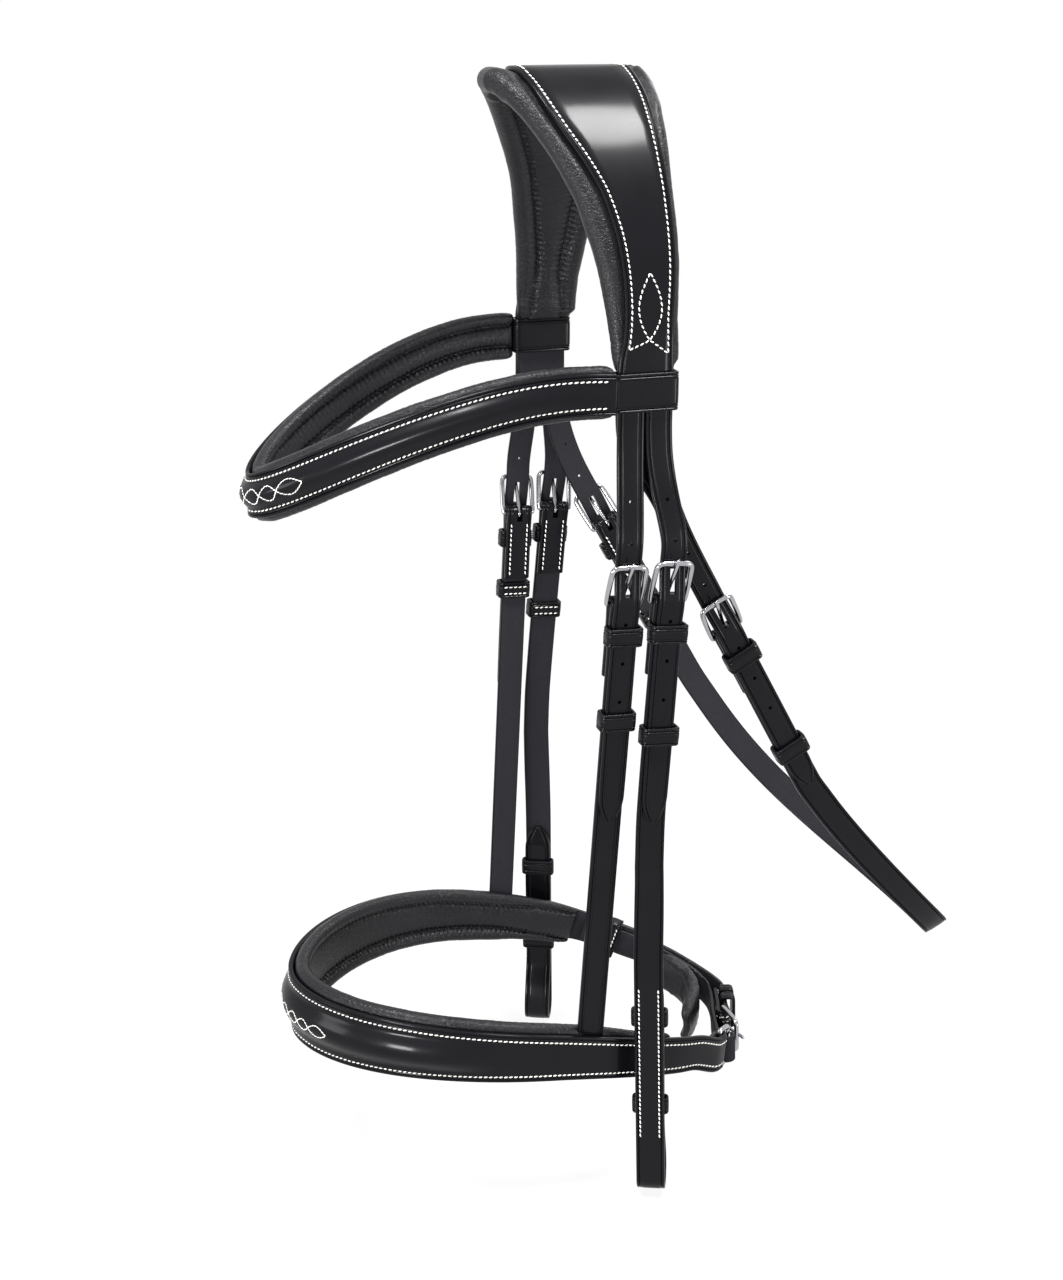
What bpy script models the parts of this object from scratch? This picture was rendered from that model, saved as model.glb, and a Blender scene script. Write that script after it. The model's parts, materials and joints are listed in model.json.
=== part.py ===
"""Anatomic snaffle bridle with a crank noseband, as separate leather and metal pieces.

Metres, +Z up. The origin is the poll seat, on the underside of the padding at the top of the
headpiece. The nose points along -Y, and the near (left) side of the horse is +X.
"""
import math

import bpy
import bmesh
import numpy as np
from mathutils import Matrix, Vector

# Clearances
GAP = 0.0003
PAD_GAP = 0.00075
CUT_OVERRUN = 0.008

# Leather and wire stock
STRAP_THICKNESS = 0.0026
BILLET_THICKNESS = 0.0022
BAND_THICKNESS = 0.0028
KEEPER_WALL = 0.0018
KEEPER_BACK = 0.0010
KEEPER_HEIGHT = 0.009
WIRE = 0.0024
TONGUE_WIRE = 0.0018
HOLE_RADIUS = 0.0013
HOLE_PITCH = 0.019

# Widths of the straps
BILLET_WIDTH = 0.0126
CHEEK_WIDTH = 0.0144
HANGER_WIDTH = 0.0136
THROAT_WIDTH = 0.0136
SLIT = 0.0008

# Buckles: the frame's length from heel bar to top bar, and the chape sewn round the heel bar
FRAME_LENGTH = 0.020
FRAME_CORNER = 0.0032
CHAPE_LENGTH = 0.036
CHAPE_SPREAD = 0.0075
BILLET_BELOW_BUCKLE = 0.108
BILLET_TOP_LEAD_SHARE = 0.46
BILLET_FOOT_LEAD_SHARE = 0.17
LEG_POINTS = 7
THROAT_POINTS = 8
BILLET_POINT = 0.013
FIXED_KEEPER_DROP = 0.0145
BAR_DIP_SHARE = 0.58
SLOT_LOW_SHARE = 0.28
SLOT_HIGH_SHARE = 0.82

# Headpiece
BROW_OUT = 0.076
BROW_BACK = 0.015
LOOP_DROP = 0.1248
LOOP_HEIGHT = 0.0175
LOOP_WALL = 0.0020
LOOP_TRAVEL_DOWN = 0.008
LOOP_TRAVEL_UP = 0.002
POLL_LEATHER_FRONT = 0.025
POLL_PAD_FRONT = 0.036
CROWN_REAR_FLARE = 0.0045
PAD_REAR_OVERHANG = 0.0044
PAD_LOOP_OVERHANG = 0.0010
CROWN_PAD_DEPTH = 0.0078
CROWN_ROLL = 0.0056
ARCH_SIDE_SHARE = 0.41
ARCH_TOP_SHARE = 0.44
ARCH_FLAT_SHARE = 0.94

# Browband
BROWBAND_REACH = 0.151
BROWBAND_DIP = 0.0530
BROWBAND_LIFT = 0.0035
BROWBAND_HEIGHT = 0.0185
BROWBAND_SWELL = 0.0025
BROWBAND_RAISE = 0.0024
BAND_ROLL = 0.0034
BAND_PAD_DEPTH = 0.0042
BAND_OVERHANG = 0.0026

# Cheekpieces and hangers
BUCKLE_DROP = 0.2216
CHEEK_BUCKLE_OUT = 0.0825
CHEEK_BUCKLE_BACK = 0.0254
CHEEK_BEND = 0.116
CHEEK_BEND_OUT = 0.0860
CHEEK_BEND_BACK = 0.0170
CHEEK_BEND_SPREAD = 0.014
BIT_OUT = 0.0925
BIT_BACK = 0.0210
BIT_DROP = 0.5376
BIT_LOOP_RADIUS = 0.0065
BIT_LOOP_LENGTH = 0.043
BIT_BILLET_RISE = 0.125
BIT_TWIST = math.radians(25)
TWIST_SPREAD = 0.060
UPPER_BIT_KEEPER_RISE = 0.100
LOWER_BIT_KEEPER_RISE = 0.0505
STUD_RISE = 0.076
STUD_POST = 0.0015
STUD_HEAD = 0.0027
HANGER_BUCKLE_OUT = 0.0805
HANGER_BUCKLE_BACK = 0.0044
HANGER_TUCK = 0.016
CHEEK_RUNNER_DROP = {1: 0.0645, -1: 0.058}
HANGER_RUNNER_DROP = {1: 0.0565, -1: 0.043}

# Noseband ring
NOSE_DROP = 0.4556
NOSE_BACK = -0.0307
NOSE_HALF_WIDTH = 0.0807
NOSE_FRONT_DEPTH = 0.1123
NOSE_REAR_DEPTH = 0.1385
NOSE_FALL = 0.0239
NOSE_SAG = 0.0197
NOSE_HEIGHT = 0.0253
NOSE_TAPER = 0.0103
NOSE_RAISE = 0.0030
NOSE_ROLL = 0.0038
NOSE_PAD_DEPTH = 0.0046
NOSE_OVERHANG = 0.0030
NEAR_END_HEIGHT = 0.0185
HANGER_ANGLE = math.radians(95.5)
NOSE_PAD_ANGLE = math.radians(103)
NOSE_RAISE_ANGLE = math.radians(84)
NOSE_BAND_ANGLE = math.radians(107)
NEAR_END_ANGLE = math.radians(123)
FAR_END_ANGLES = (math.radians(163), math.radians(153), math.radians(142), math.radians(136.5))
NOSE_RUNNER_START = math.radians(115)
NOSE_RUNNER_END = math.radians(131)

# Crank closure behind the chin
CRANK_WIDTH = 0.0146
CRANK_OUT = 0.016
CRANK_BACK = 0.0925
CRANK_DROP = 0.4951
CRANK_TURN = math.radians(18.7)
CRANK_CLIMB = math.radians(5.7)
CRANK_BELOW_BUCKLE = 0.0315
CRANK_POINT = 0.006
CRANK_KEEPER_DROP = 0.0140
CRANK_RUNNER_DROP = 0.0240
CRANK_KEEPER_HEIGHT = 0.0075
CRANK_CHAPE = 0.0285
DEE_LENGTH = 0.012
DEE_OUT = 0.0525
DEE_BACK = 0.0733
DEE_DROP = 0.4881
DEE_TURN = math.radians(45)
DEE_SLOPE = math.radians(14.5)
DEE_LOOP_RADIUS = 0.0042
DEE_CHAPE = 0.011
CHIN_PAD_HEIGHT = 0.024
CHIN_PAD_DEPTH = 0.0055
CHIN_ROLL = 0.0042
CHIN_PAD_START = math.radians(140)
CHIN_PAD_LEAVE = math.radians(150)
CHIN_END_OUT = 0.0205
CHIN_END_BACK = 0.0705
CHIN_END_DROP = 0.4935
CHIN_LEAD = 0.013

# Throatlatch, whose two sides hang unlike
THROAT_TOP_WIDTH = 0.0250
THROAT_SIDES = {
    1: {"buckle_out": 0.0666, "buckle_back": 0.0630, "buckle_drop": 0.2456,
        "point_out": 0.0644, "point_back": 0.1143, "point_drop": 0.3383, "runner": 0.0740},
    -1: {"buckle_out": 0.0640, "buckle_back": 0.0490, "buckle_drop": 0.2266,
         "point_out": 0.0480, "point_back": 0.0990, "point_drop": 0.3216, "runner": 0.060}}
THROAT_LOW_OUT = 0.040
THROAT_LOW_BACK = 0.2092
THROAT_LOW_DROP = 0.4442
THROAT_BELOW_BUCKLE = 0.097
THROAT_TURN = 0.020
THROAT_NEAR_SHARE = 0.22
THROAT_FAR_SHARE = 0.42
THROAT_RISE_SHARE = 0.5
THROAT_RELAX = 3

# Sizes that follow from the ones above, at a buckle. In a buckle's frame x points away from the
# horse, z up the strap, and the heel bar lies along y through the origin.
LAYER_GAP = KEEPER_BACK + 2 * GAP
LAYER_OFFSET = (STRAP_THICKNESS + LAYER_GAP) / 2
FOLD_RADIUS = (WIRE + STRAP_THICKNESS) / 2 + GAP
FOLD_OUTSIDE = FOLD_RADIUS + STRAP_THICKNESS / 2
BILLET_OVER_FOLD = FOLD_OUTSIDE + GAP + BILLET_THICKNESS / 2
BILLET_ON_STRAP = LAYER_OFFSET + (STRAP_THICKNESS + BILLET_THICKNESS) / 2 + GAP
BILLET_AT_BAR = BAR_DIP_SHARE * BILLET_OVER_FOLD
BAR_OUT = BILLET_AT_BAR + (BILLET_THICKNESS + WIRE) / 2 + GAP
BAR_UP = math.sqrt(FRAME_LENGTH ** 2 - BAR_OUT ** 2)
TONGUE_RADIUS = (WIRE + TONGUE_WIRE) / 2 + GAP
TONGUE_SLOT = TONGUE_WIRE + 4 * GAP

# Sizes that follow, at the headpiece
CROWN_WIDTH = 2 * BILLET_WIDTH + SLIT
CROWN_RISE = CROWN_PAD_DEPTH + GAP + STRAP_THICKNESS / 2
ARCH_START = -LOOP_DROP + LOOP_HEIGHT / 2 + LOOP_TRAVEL_UP
SPLIT_HEIGHT = -LOOP_DROP - LOOP_HEIGHT / 2
LOOP_LOWEST = SPLIT_HEIGHT - LOOP_TRAVEL_DOWN - GAP
THROAT_TOP_OUT = BROW_OUT - (STRAP_THICKNESS + BILLET_THICKNESS) / 2 - GAP

# Shapes as shares: along an arch from the loop (0) to the poll (1), and along a strap's point
LEATHER_FRONT_SHARES = ((0, 0), (0.08, -0.095), (0.25, -0.145), (0.33, -0.113), (0.4, -0.034),
                        (0.48, 0.091), (0.58, 0.342), (0.68, 0.6), (0.83, 0.84), (1, 1))
LEATHER_REAR_SHARES = ((0, 0), (0.14, 0.1), (0.26, 0.66), (0.36, 0.88), (0.47, 1), (0.73, 0.97),
                       (0.85, 0.7), (1, 0.45))
PAD_FRONT_SHARES = ((0, 0), (0.07, 0.01), (0.19, 0.056), (0.295, 0.118), (0.38, 0.203),
                    (0.477, 0.295), (0.57, 0.418), (0.68, 0.574), (0.81, 0.767), (1, 1))
POINT_SHARES = ((0.45, 0.86), (0.8, 0.56), (1, 0.16))
BAND_SECTION_SHARES = ((-1, 0), (-0.6, 0), (-0.34, 0.8), (0, 1), (0.34, 0.8), (0.6, 0), (1, 0))

X, Y, Z = Vector((1, 0, 0)), Vector((0, 1, 0)), Vector((0, 0, 1))
MIRROR = Matrix.Diagonal((-1, 1, 1, 1))
SIDE_NAMES = {1: "near", -1: "far"}


# Materials, as colour, roughness and metallic value
BRIDLE_LEATHER = ((0.012, 0.012, 0.014), 0.28, 0.0)
PADDING_LEATHER = ((0.022, 0.022, 0.026), 0.55, 0.0)
STAINLESS_STEEL = ((0.75, 0.75, 0.76), 0.12, 1.0)


def material(name, colour, roughness, metallic):
    made = bpy.data.materials.new(name)
    made.use_nodes = True
    shader = made.node_tree.nodes["Principled BSDF"]
    shader.inputs["Base Color"].default_value = (*colour, 1)
    shader.inputs["Roughness"].default_value = roughness
    shader.inputs["Metallic"].default_value = metallic
    return made



# Small helpers for curves
def ease(share):
    """Smooth step from 0 to 1."""
    share = min(max(share, 0.0), 1.0)
    return share * share * (3 - 2 * share)


def table_value(table, place):
    """Read a table of (place, value) shares along a smooth curve."""
    places = np.array([row[0] for row in table], float)
    values = np.array([row[1] for row in table], float)
    slopes = np.gradient(values, places)
    i = int(np.clip(np.searchsorted(places, place) - 1, 0, len(places) - 2))
    span = places[i + 1] - places[i]
    t = (place - places[i]) / span
    return float((2 * t ** 3 - 3 * t ** 2 + 1) * values[i] + (t ** 3 - 2 * t ** 2 + t) * span * slopes[i]
                 + (3 * t ** 2 - 2 * t ** 3) * values[i + 1] + (t ** 3 - t ** 2) * span * slopes[i + 1])


def even_angles(place, start, end, count):
    """Angles that set points evenly along a band, instead of evenly round its angle."""
    fine = np.linspace(start, end, 12 * count)
    points = [place(angle)[0] for angle in fine]
    steps = [0.0] + [(b - a).length for a, b in zip(points, points[1:])]
    run = np.cumsum(steps)
    return np.interp(np.linspace(0, run[-1], count), run, fine)


def bezier(controls, count):
    """Points on a cubic curve, both ends included."""
    a, b, c, d = controls
    points = []
    for t in np.linspace(0, 1, count):
        s = 1 - t
        points.append(a * s ** 3 + b * (3 * s * s * t) + c * (3 * s * t * t) + d * t ** 3)
    return points


def relaxed(points, passes):
    """Points of a way whose sharp turns are eased by drawing each point towards its neighbours."""
    for _ in range(passes):
        inner = [(a + b * 2 + c) / 4 for a, b, c in zip(points, points[1:], points[2:])]
        points = [points[0]] + inner + [points[-1]]
    return points


def frame_at(origin, foot, outward=X):
    """Frame of a strap: z from its foot to the origin, x away from the horse."""
    up = (origin - foot).normalized()
    out = (outward - up * outward.dot(up)).normalized()
    across = up.cross(out)
    rotation = Matrix((out, across, up)).transposed()
    return Matrix.Translation(origin) @ rotation.to_4x4()


# A station of a strap is (centre, outward normal, width direction, half width, half thickness).
def in_frame(frame, stations):
    """Move stations from a strap's own frame to the bridle's."""
    turn = frame.to_3x3()
    return [(frame @ p, (turn @ n).normalized(), (turn @ w).normalized(), half, thick)
            for p, n, w, half, thick in stations]


def mirrored(stations):
    return [(MIRROR @ p, MIRROR.to_3x3() @ n, MIRROR.to_3x3() @ w, half, thick)
            for p, n, w, half, thick in stations]


def rectangle(station):
    """The strap's square section at a station."""
    p, n, w, half, thick = station
    return [p + n * thick - w * half, p + n * thick + w * half,
            p - n * thick + w * half, p - n * thick - w * half]


def planar_stations(points, width, thickness, twist=None):
    """Stations along (x, z) points in a strap's frame, facing away from what it folds round."""
    legs = [(Vector((b[0] - a[0], 0, b[1] - a[1]))).normalized() for a, b in zip(points, points[1:])]
    stations = []
    for i, (x, z) in enumerate(points):
        along = (legs[max(i - 1, 0)] + legs[min(i, len(legs) - 1)]).normalized()
        turn = Matrix.Rotation(twist(z), 3, "Z") if twist else Matrix.Identity(3)
        normal = Vector((-along.z, 0, along.x))
        stations.append((turn @ Vector((x, 0, z)), turn @ normal, turn @ Y, width / 2, thickness / 2))
    return stations


def route_stations(points, across, width, thickness, last_across=None):
    """Stations along points in space, whose width direction turns from `across` to `last_across`."""
    stations = []
    for i, point in enumerate(points):
        along = (points[min(i + 1, len(points) - 1)] - points[max(i - 1, 0)]).normalized()
        wide = across.lerp(last_across or across, ease(i / (len(points) - 1)))
        wide = (wide - along * wide.dot(along)).normalized()
        stations.append((point, along.cross(wide), wide, width / 2, thickness / 2))
    return stations


def pointed(stations, reach):
    """Add a strap's narrowing point past its last station."""
    p, n, w, half, thick = stations[-1]
    along = w.cross(n).normalized()
    return stations + [(p + along * reach * far, n, w, half * wide, thick) for far, wide in POINT_SHARES]


# Mesh helpers
def skin(bm, rings, closed=False, start_cap=True, end_cap=True):
    """Join a row of alike rings with faces; rings may be points or vertices."""
    rows = [[p if isinstance(p, bmesh.types.BMVert) else bm.verts.new(p) for p in ring] for ring in rings]
    pairs = list(zip(rows, rows[1:])) + ([(rows[-1], rows[0])] if closed else [])
    for a, b in pairs:
        for i in range(len(a)):
            j = (i + 1) % len(a)
            bm.faces.new((a[i], a[j], b[j], b[i]))
    if start_cap and not closed:
        bm.faces.new(rows[0])
    if end_cap and not closed:
        bm.faces.new(rows[-1])
    return rows


def finish(name, bm, look, parent=None, side=1, smooth=False):
    """Turn a bmesh into a named object; the far side's is the near side's mirror image."""
    if side < 0:
        bmesh.ops.transform(bm, matrix=MIRROR, verts=bm.verts)
    bmesh.ops.recalc_face_normals(bm, faces=bm.faces)
    mesh = bpy.data.meshes.new(name)
    bm.to_mesh(mesh)
    bm.free()
    if smooth:
        mesh.shade_smooth()
        mesh.set_sharp_from_angle(angle=math.radians(40))
    if look:
        mesh.materials.append(material(name, *look))
    made = bpy.data.objects.new(name, mesh)
    bpy.context.scene.collection.objects.link(made)
    made.parent = parent
    return made


def strap(name, stations, parent=None, side=1):
    """A flat strap along its stations."""
    bm = bmesh.new()
    skin(bm, [rectangle(s) for s in stations])
    return finish(name, bm, BRIDLE_LEATHER, parent, side)


def tube(bm, points, normal, radius, sides, closed=False):
    """Round wire along points in the plane square to `normal`."""
    rings = []
    last = len(points) - 1
    for i, point in enumerate(points):
        ahead = points[(i + 1) % len(points)] if closed else points[min(i + 1, last)]
        behind = points[i - 1] if closed or i else points[0]
        along = ((ahead - point).normalized() + (point - behind).normalized()).normalized()
        across = along.cross(normal)
        angles = [2 * math.pi * k / sides for k in range(sides)]
        rings.append([point + normal * radius * math.cos(a) + across * radius * math.sin(a) for a in angles])
    skin(bm, rings, closed)


def empty(name, frame, parent=None):
    made = bpy.data.objects.new(name, None)
    bpy.context.scene.collection.objects.link(made)
    made.parent = parent
    made.matrix_basis = frame
    return made


def cut(target, cutters, name):
    """Cut a target with one cutter object, made from a list of closed outlines and their depths."""
    bm = bmesh.new()
    for low, high in cutters:
        skin(bm, [low, high])
    cutter = finish(name, bm, None)
    cutter.hide_render = True
    cutter.display_type = "WIRE"
    boolean = target.modifiers.new("cut", "BOOLEAN")
    boolean.operation = "DIFFERENCE"
    boolean.solver = "EXACT"
    boolean.object = cutter
    return cutter


def hole(frame, out, up, radius, reach, sides=6, twist=0.0):
    """A round hole through a strap, as the two ends of its cutter."""
    turn = frame @ Matrix.Rotation(twist, 4, "Z")
    ends = []
    for x in (out - reach, out + reach):
        ends.append([turn @ Vector((x, radius * math.cos(2 * math.pi * k / sides),
                                    up + radius * math.sin(2 * math.pi * k / sides)))
                     for k in range(sides)])
    return ends


def slot(frame, out_low, out_high, width, up_low, up_high):
    """A square slot through a strap, as the two ends of its cutter."""
    corners = ((-width / 2, up_low), (width / 2, up_low), (width / 2, up_high), (-width / 2, up_high))
    return [[frame @ Vector((x, y, z)) for y, z in corners] for x in (out_low, out_high)]


# Straps at a buckle
def chape_points(length):
    """Centre line of a strap's fold, from the chape's end round the heel bar to the outer run."""
    turn = np.radians(np.linspace(192, -12, 8))
    fold = [(FOLD_RADIUS * math.cos(a), FOLD_RADIUS * math.sin(a)) for a in turn]
    return [(-LAYER_OFFSET, -length), (-LAYER_OFFSET, -CHAPE_SPREAD), *fold, (LAYER_OFFSET, -CHAPE_SPREAD)]


def fold_slot(frame):
    """The slot in the fold that the tongue's eye turns in."""
    reach = TONGUE_RADIUS + TONGUE_WIRE / 2 + GAP
    return slot(frame, -FOLD_OUTSIDE - GAP, FOLD_OUTSIDE + GAP, TONGUE_SLOT, -reach, FOLD_OUTSIDE + GAP)


def billet_at_buckle(width, below, point):
    """Stations of a billet from above the top bar, over the heel bar and down to its point."""
    points = [(BILLET_AT_BAR, BAR_UP + 3 * WIRE), (BILLET_AT_BAR, BAR_UP - WIRE),
              (BILLET_OVER_FOLD, FOLD_RADIUS), (BILLET_OVER_FOLD, -FOLD_RADIUS),
              (BILLET_ON_STRAP, -CHAPE_SPREAD - GAP), (BILLET_ON_STRAP, point - below)]
    return pointed(planar_stations(points, width, BILLET_THICKNESS), point)


def billet_holes(frame, above, below):
    """The tongue's slot and the spare holes above and below it."""
    middle = BAR_UP * (SLOT_LOW_SHARE + SLOT_HIGH_SHARE) / 2
    cuts = [slot(frame, BILLET_AT_BAR - BILLET_THICKNESS, BILLET_OVER_FOLD + BILLET_THICKNESS,
                 TONGUE_SLOT, SLOT_LOW_SHARE * BAR_UP, SLOT_HIGH_SHARE * BAR_UP)]
    for k in range(-below, above + 1):
        if k:
            out = BILLET_AT_BAR if k > 0 else BILLET_ON_STRAP
            cuts.append(hole(frame, out, middle + k * HOLE_PITCH, HOLE_RADIUS, BILLET_THICKNESS))
    return cuts


def route_frame(stations, run):
    """Frame on a strap's middle, at a run's length back from its last station."""
    for (p, n, w, _, _), (q, m, v, _, _) in zip(stations[::-1], stations[-2::-1]):
        step = (q - p).length
        if run <= step:
            break
        run -= step
    normal = n.lerp(m, run / step).normalized()
    across = w.lerp(v, run / step)
    across = (across - normal * across.dot(normal)).normalized()
    rotation = Matrix((normal, across, normal.cross(across))).transposed().to_4x4()
    return Matrix.Translation(p.lerp(q, run / step)) @ rotation


def high_hole(stations, side):
    """The topmost spare hole, where the billet has left its buckle's plane."""
    run = BAR_UP * (SLOT_LOW_SHARE + SLOT_HIGH_SHARE) / 2 + 2 * HOLE_PITCH - BAR_UP - 3 * WIRE
    frame = route_frame(stations, run)
    return hole(MIRROR @ frame if side < 0 else frame, 0, 0, HOLE_RADIUS, BILLET_THICKNESS)


def corner(centre, radius, start, steps=3):
    """Points round a quarter turn in the plane of y and z, from the angle `start`."""
    angles = [start + math.pi / 2 * k / steps for k in range(steps + 1)]
    return [(centre[0] + radius * math.cos(a), centre[1] + radius * math.sin(a)) for a in angles]


def rounded_frame(half, length, heel_corner, top_corner):
    """Centre line of a wire frame: heel bar at z = 0, top bar at z = length."""
    return (corner((half - heel_corner, heel_corner), heel_corner, -math.pi / 2, 2)
            + corner((half - top_corner, length - top_corner), top_corner, 0)
            + corner((top_corner - half, length - top_corner), top_corner, math.pi / 2)
            + corner((heel_corner - half, heel_corner), heel_corner, math.pi, 2))


def buckle_frame(name, parent, side, width):
    """Wire frame tilted away from the horse, so that the billet passes behind its top bar."""
    half = width / 2 + GAP + WIRE / 2
    lean = Vector((BAR_OUT, 0, BAR_UP)).normalized()
    points = [Y * y + lean * z for y, z in rounded_frame(half, FRAME_LENGTH, WIRE / 2, FRAME_CORNER)]
    bm = bmesh.new()
    tube(bm, points, lean.cross(Y), WIRE / 2, 8, closed=True)
    return finish(name, bm, STAINLESS_STEEL, parent, side, smooth=True)


def buckle_tongue(name, parent, side):
    """Wire tongue: an eye round the heel bar and a shank through the billet over the top bar."""
    bar = Vector((BAR_OUT, 0, BAR_UP))
    lean = bar.normalized()
    rest = bar + Vector((lean.z, 0, -lean.x)) * TONGUE_RADIUS
    leave = math.atan2(rest.z, rest.x) + math.acos(TONGUE_RADIUS / rest.length)
    eye = [leave + math.radians(240) * k / 6 for k in range(6, -1, -1)]
    points = [Vector((math.cos(a), 0, math.sin(a))) * TONGUE_RADIUS for a in eye]
    shank = (rest - points[-1]).normalized()
    points += [rest - shank * WIRE, rest + shank * WIRE / 2, rest + (shank * 3 - X).normalized() * 2 * WIRE / 2
               + shank * WIRE / 2]
    bm = bmesh.new()
    tube(bm, points, Y, TONGUE_WIRE / 2, 6)
    return finish(name, bm, STAINLESS_STEEL, parent, side, smooth=True)


def loop_piece(name, parent, side, low, high, half, walls, height):
    """A leather loop round straps that fill x from low to high and y to +-half in its frame.

    walls are its thicknesses towards the horse, at the sides and away from the horse.
    """
    back, wall, front = walls
    ix = (low - GAP, high + GAP)
    iy = half + GAP
    ox = (ix[0] - back, ix[1] + front)
    oy = iy + wall
    nip = GAP / 2
    round_off = (min(back, wall), min(front, wall))
    stations = []
    for end, sign in ((0, -1), (1, 1)):
        cut_off = round_off[end]
        order = (-1, 1) if end == 0 else (1, -1)
        for s in order:
            along_x = ((ix[end] - sign * 0, s * (iy - nip)), (ox[end], s * (oy - cut_off)))
            along_y = ((ix[end] - sign * nip, s * iy), (ox[end] - sign * cut_off, s * oy))
            pair = [along_y, along_x] if s == order[0] else [along_x, along_y]
            stations += pair
    bm = bmesh.new()
    rings = []
    for inner, outer in stations:
        rings.append([Vector((*outer, -height / 2)), Vector((*outer, height / 2)),
                      Vector((*inner, height / 2)), Vector((*inner, -height / 2))])
    skin(bm, rings, closed=True)
    return finish(name, bm, BRIDLE_LEATHER, parent, side)


def keeper(name, parent, side, width, drop, height=None, sewn=True):
    """A keeper round a strap and its billet; a sewn one is tucked between strap and chape."""
    back = KEEPER_BACK if sewn else KEEPER_WALL
    made = loop_piece(name, parent, side, LAYER_OFFSET - STRAP_THICKNESS / 2,
                      BILLET_ON_STRAP + BILLET_THICKNESS / 2, width / 2,
                      (back, KEEPER_WALL, KEEPER_WALL), height or KEEPER_HEIGHT)
    made.location.z = -drop
    return made


def buckle_set(prefix, frame, side, width, runner_drop):
    """Frame, tongue, sewn keeper and sliding runner of one buckle, on an empty at its heel bar."""
    held = MIRROR @ frame @ MIRROR if side < 0 else frame
    base = empty(prefix + "_buckle", held)
    buckle_frame(prefix + "_buckle_frame", base, side, width)
    buckle_tongue(prefix + "_buckle_tongue", base, side)
    keeper(prefix + "_keeper", base, side, width, FIXED_KEEPER_DROP)
    keeper(prefix + "_runner", base, side, width, runner_drop, sewn=False)
    return base


# Places of the straps' frames, worked out for the near side
def cheek_bend():
    """Where the cheekpiece turns a little sideways, below its billet."""
    return Vector((CHEEK_BEND_OUT, CHEEK_BEND_BACK, -BUCKLE_DROP - CHEEK_BEND))


def cheek_frame():
    return frame_at(Vector((CHEEK_BUCKLE_OUT, CHEEK_BUCKLE_BACK, -BUCKLE_DROP)), cheek_bend())


def bit_frame():
    """Frame of the cheekpiece's lower stretch: its origin is at the foot of the bit loop."""
    foot = Vector((BIT_OUT, BIT_BACK, -BIT_DROP))
    upright = frame_at(cheek_bend(), foot)
    return Matrix.Translation(foot) @ upright.to_3x3().to_4x4()


def hanger_foot():
    """Where a hanger's axis ends, tucked between the noseband's leather and its padding."""
    p, n, w, half, thick = nose_station(HANGER_ANGLE)
    behind = BAND_THICKNESS / 2 + 3 * GAP + STRAP_THICKNESS / 2 + LAYER_OFFSET
    return p - n * behind + w * (half - HANGER_TUCK)


def hanger_frame():
    return frame_at(Vector((HANGER_BUCKLE_OUT, HANGER_BUCKLE_BACK, -BUCKLE_DROP)), hanger_foot())


def throat_frame(side):
    """Frame of a throat buckle, worked out as if it were on the near side."""
    at = THROAT_SIDES[side]
    return frame_at(Vector((at["buckle_out"], at["buckle_back"], -at["buckle_drop"])),
                    Vector((at["point_out"], at["point_back"], -at["point_drop"])))


# Headpiece
def arch_place(share):
    """Centre line of the crown leather from the loop (0) to the poll (1), and its normal."""
    rise = CROWN_RISE - ARCH_START
    controls = [Vector((BROW_OUT, 0, ARCH_START)), Vector((BROW_OUT, 0, ARCH_START + rise * ARCH_SIDE_SHARE)),
                Vector((BROW_OUT * ARCH_TOP_SHARE, 0, CROWN_RISE)), Vector((0, 0, CROWN_RISE))]
    a, b, c, d = controls
    s, t = 1 - share, share
    point = a * s ** 3 + b * (3 * s * s * t) + c * (3 * s * t * t) + d * t ** 3
    along = (b - a) * s * s + (c - b) * (2 * s * t) + (d - c) * t * t
    return point, Vector((along.z, 0, -along.x)).normalized()


def crown_edges(share, padding):
    """Front and rear edge of the leather or the padding at a place on the arch."""
    front = BROW_BACK - CROWN_WIDTH / 2
    rear = BROW_BACK + CROWN_WIDTH / 2 + CROWN_REAR_FLARE * table_value(LEATHER_REAR_SHARES, share)
    if padding:
        front -= PAD_LOOP_OVERHANG
        reach = POLL_PAD_FRONT + front
        return front - reach * table_value(PAD_FRONT_SHARES, share), rear + PAD_REAR_OVERHANG
    reach = POLL_LEATHER_FRONT + front
    return front - reach * table_value(LEATHER_FRONT_SHARES, share), rear


def arch_stations(count):
    """Places along the whole arch, near side first, flat over the poll."""
    flat, _ = arch_place(ARCH_FLAT_SHARE)
    lift = Z * (CROWN_RISE - flat.z)
    near = []
    for share in np.linspace(0, ARCH_FLAT_SHARE, count):
        point, normal = arch_place(share)
        if share == ARCH_FLAT_SHARE:
            normal = Z
        near.append((share, point + lift * ease(share / ARCH_FLAT_SHARE), normal))
    far = [(share, MIRROR @ p, MIRROR.to_3x3() @ n) for share, p, n in reversed(near)]
    return near + far


def crown_ring(point, normal, front, rear):
    """Section of the crown leather, with the slit's two places between its edges."""
    middle = BROW_BACK if front < BROW_BACK - SLIT else (front + rear) / 2
    ys = (front, middle - SLIT / 2, middle + SLIT / 2, rear)
    out = normal * STRAP_THICKNESS / 2
    return [point + out + Y * y for y in ys] + [point - out + Y * y for y in reversed(ys)]


def leg_stations(leg, back):
    """Stations of a crown billet from the slit down through its buckle, on the near side."""
    buckle = in_frame(leg, billet_at_buckle(BILLET_WIDTH, BILLET_BELOW_BUCKLE, BILLET_POINT))
    start = Vector((BROW_OUT, back, LOOP_LOWEST))
    end, normal = buckle[0][0], buckle[0][1]
    along = buckle[0][2].cross(normal)
    reach = (start - end).length
    top, foot = start - Z * reach * BILLET_TOP_LEAD_SHARE, end - along * reach * BILLET_FOOT_LEAD_SHARE
    route = bezier((start, top, foot, end), LEG_POINTS)
    return route_stations(route, Y, BILLET_WIDTH, STRAP_THICKNESS, buckle[0][2])[:-1] + buckle


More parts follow.
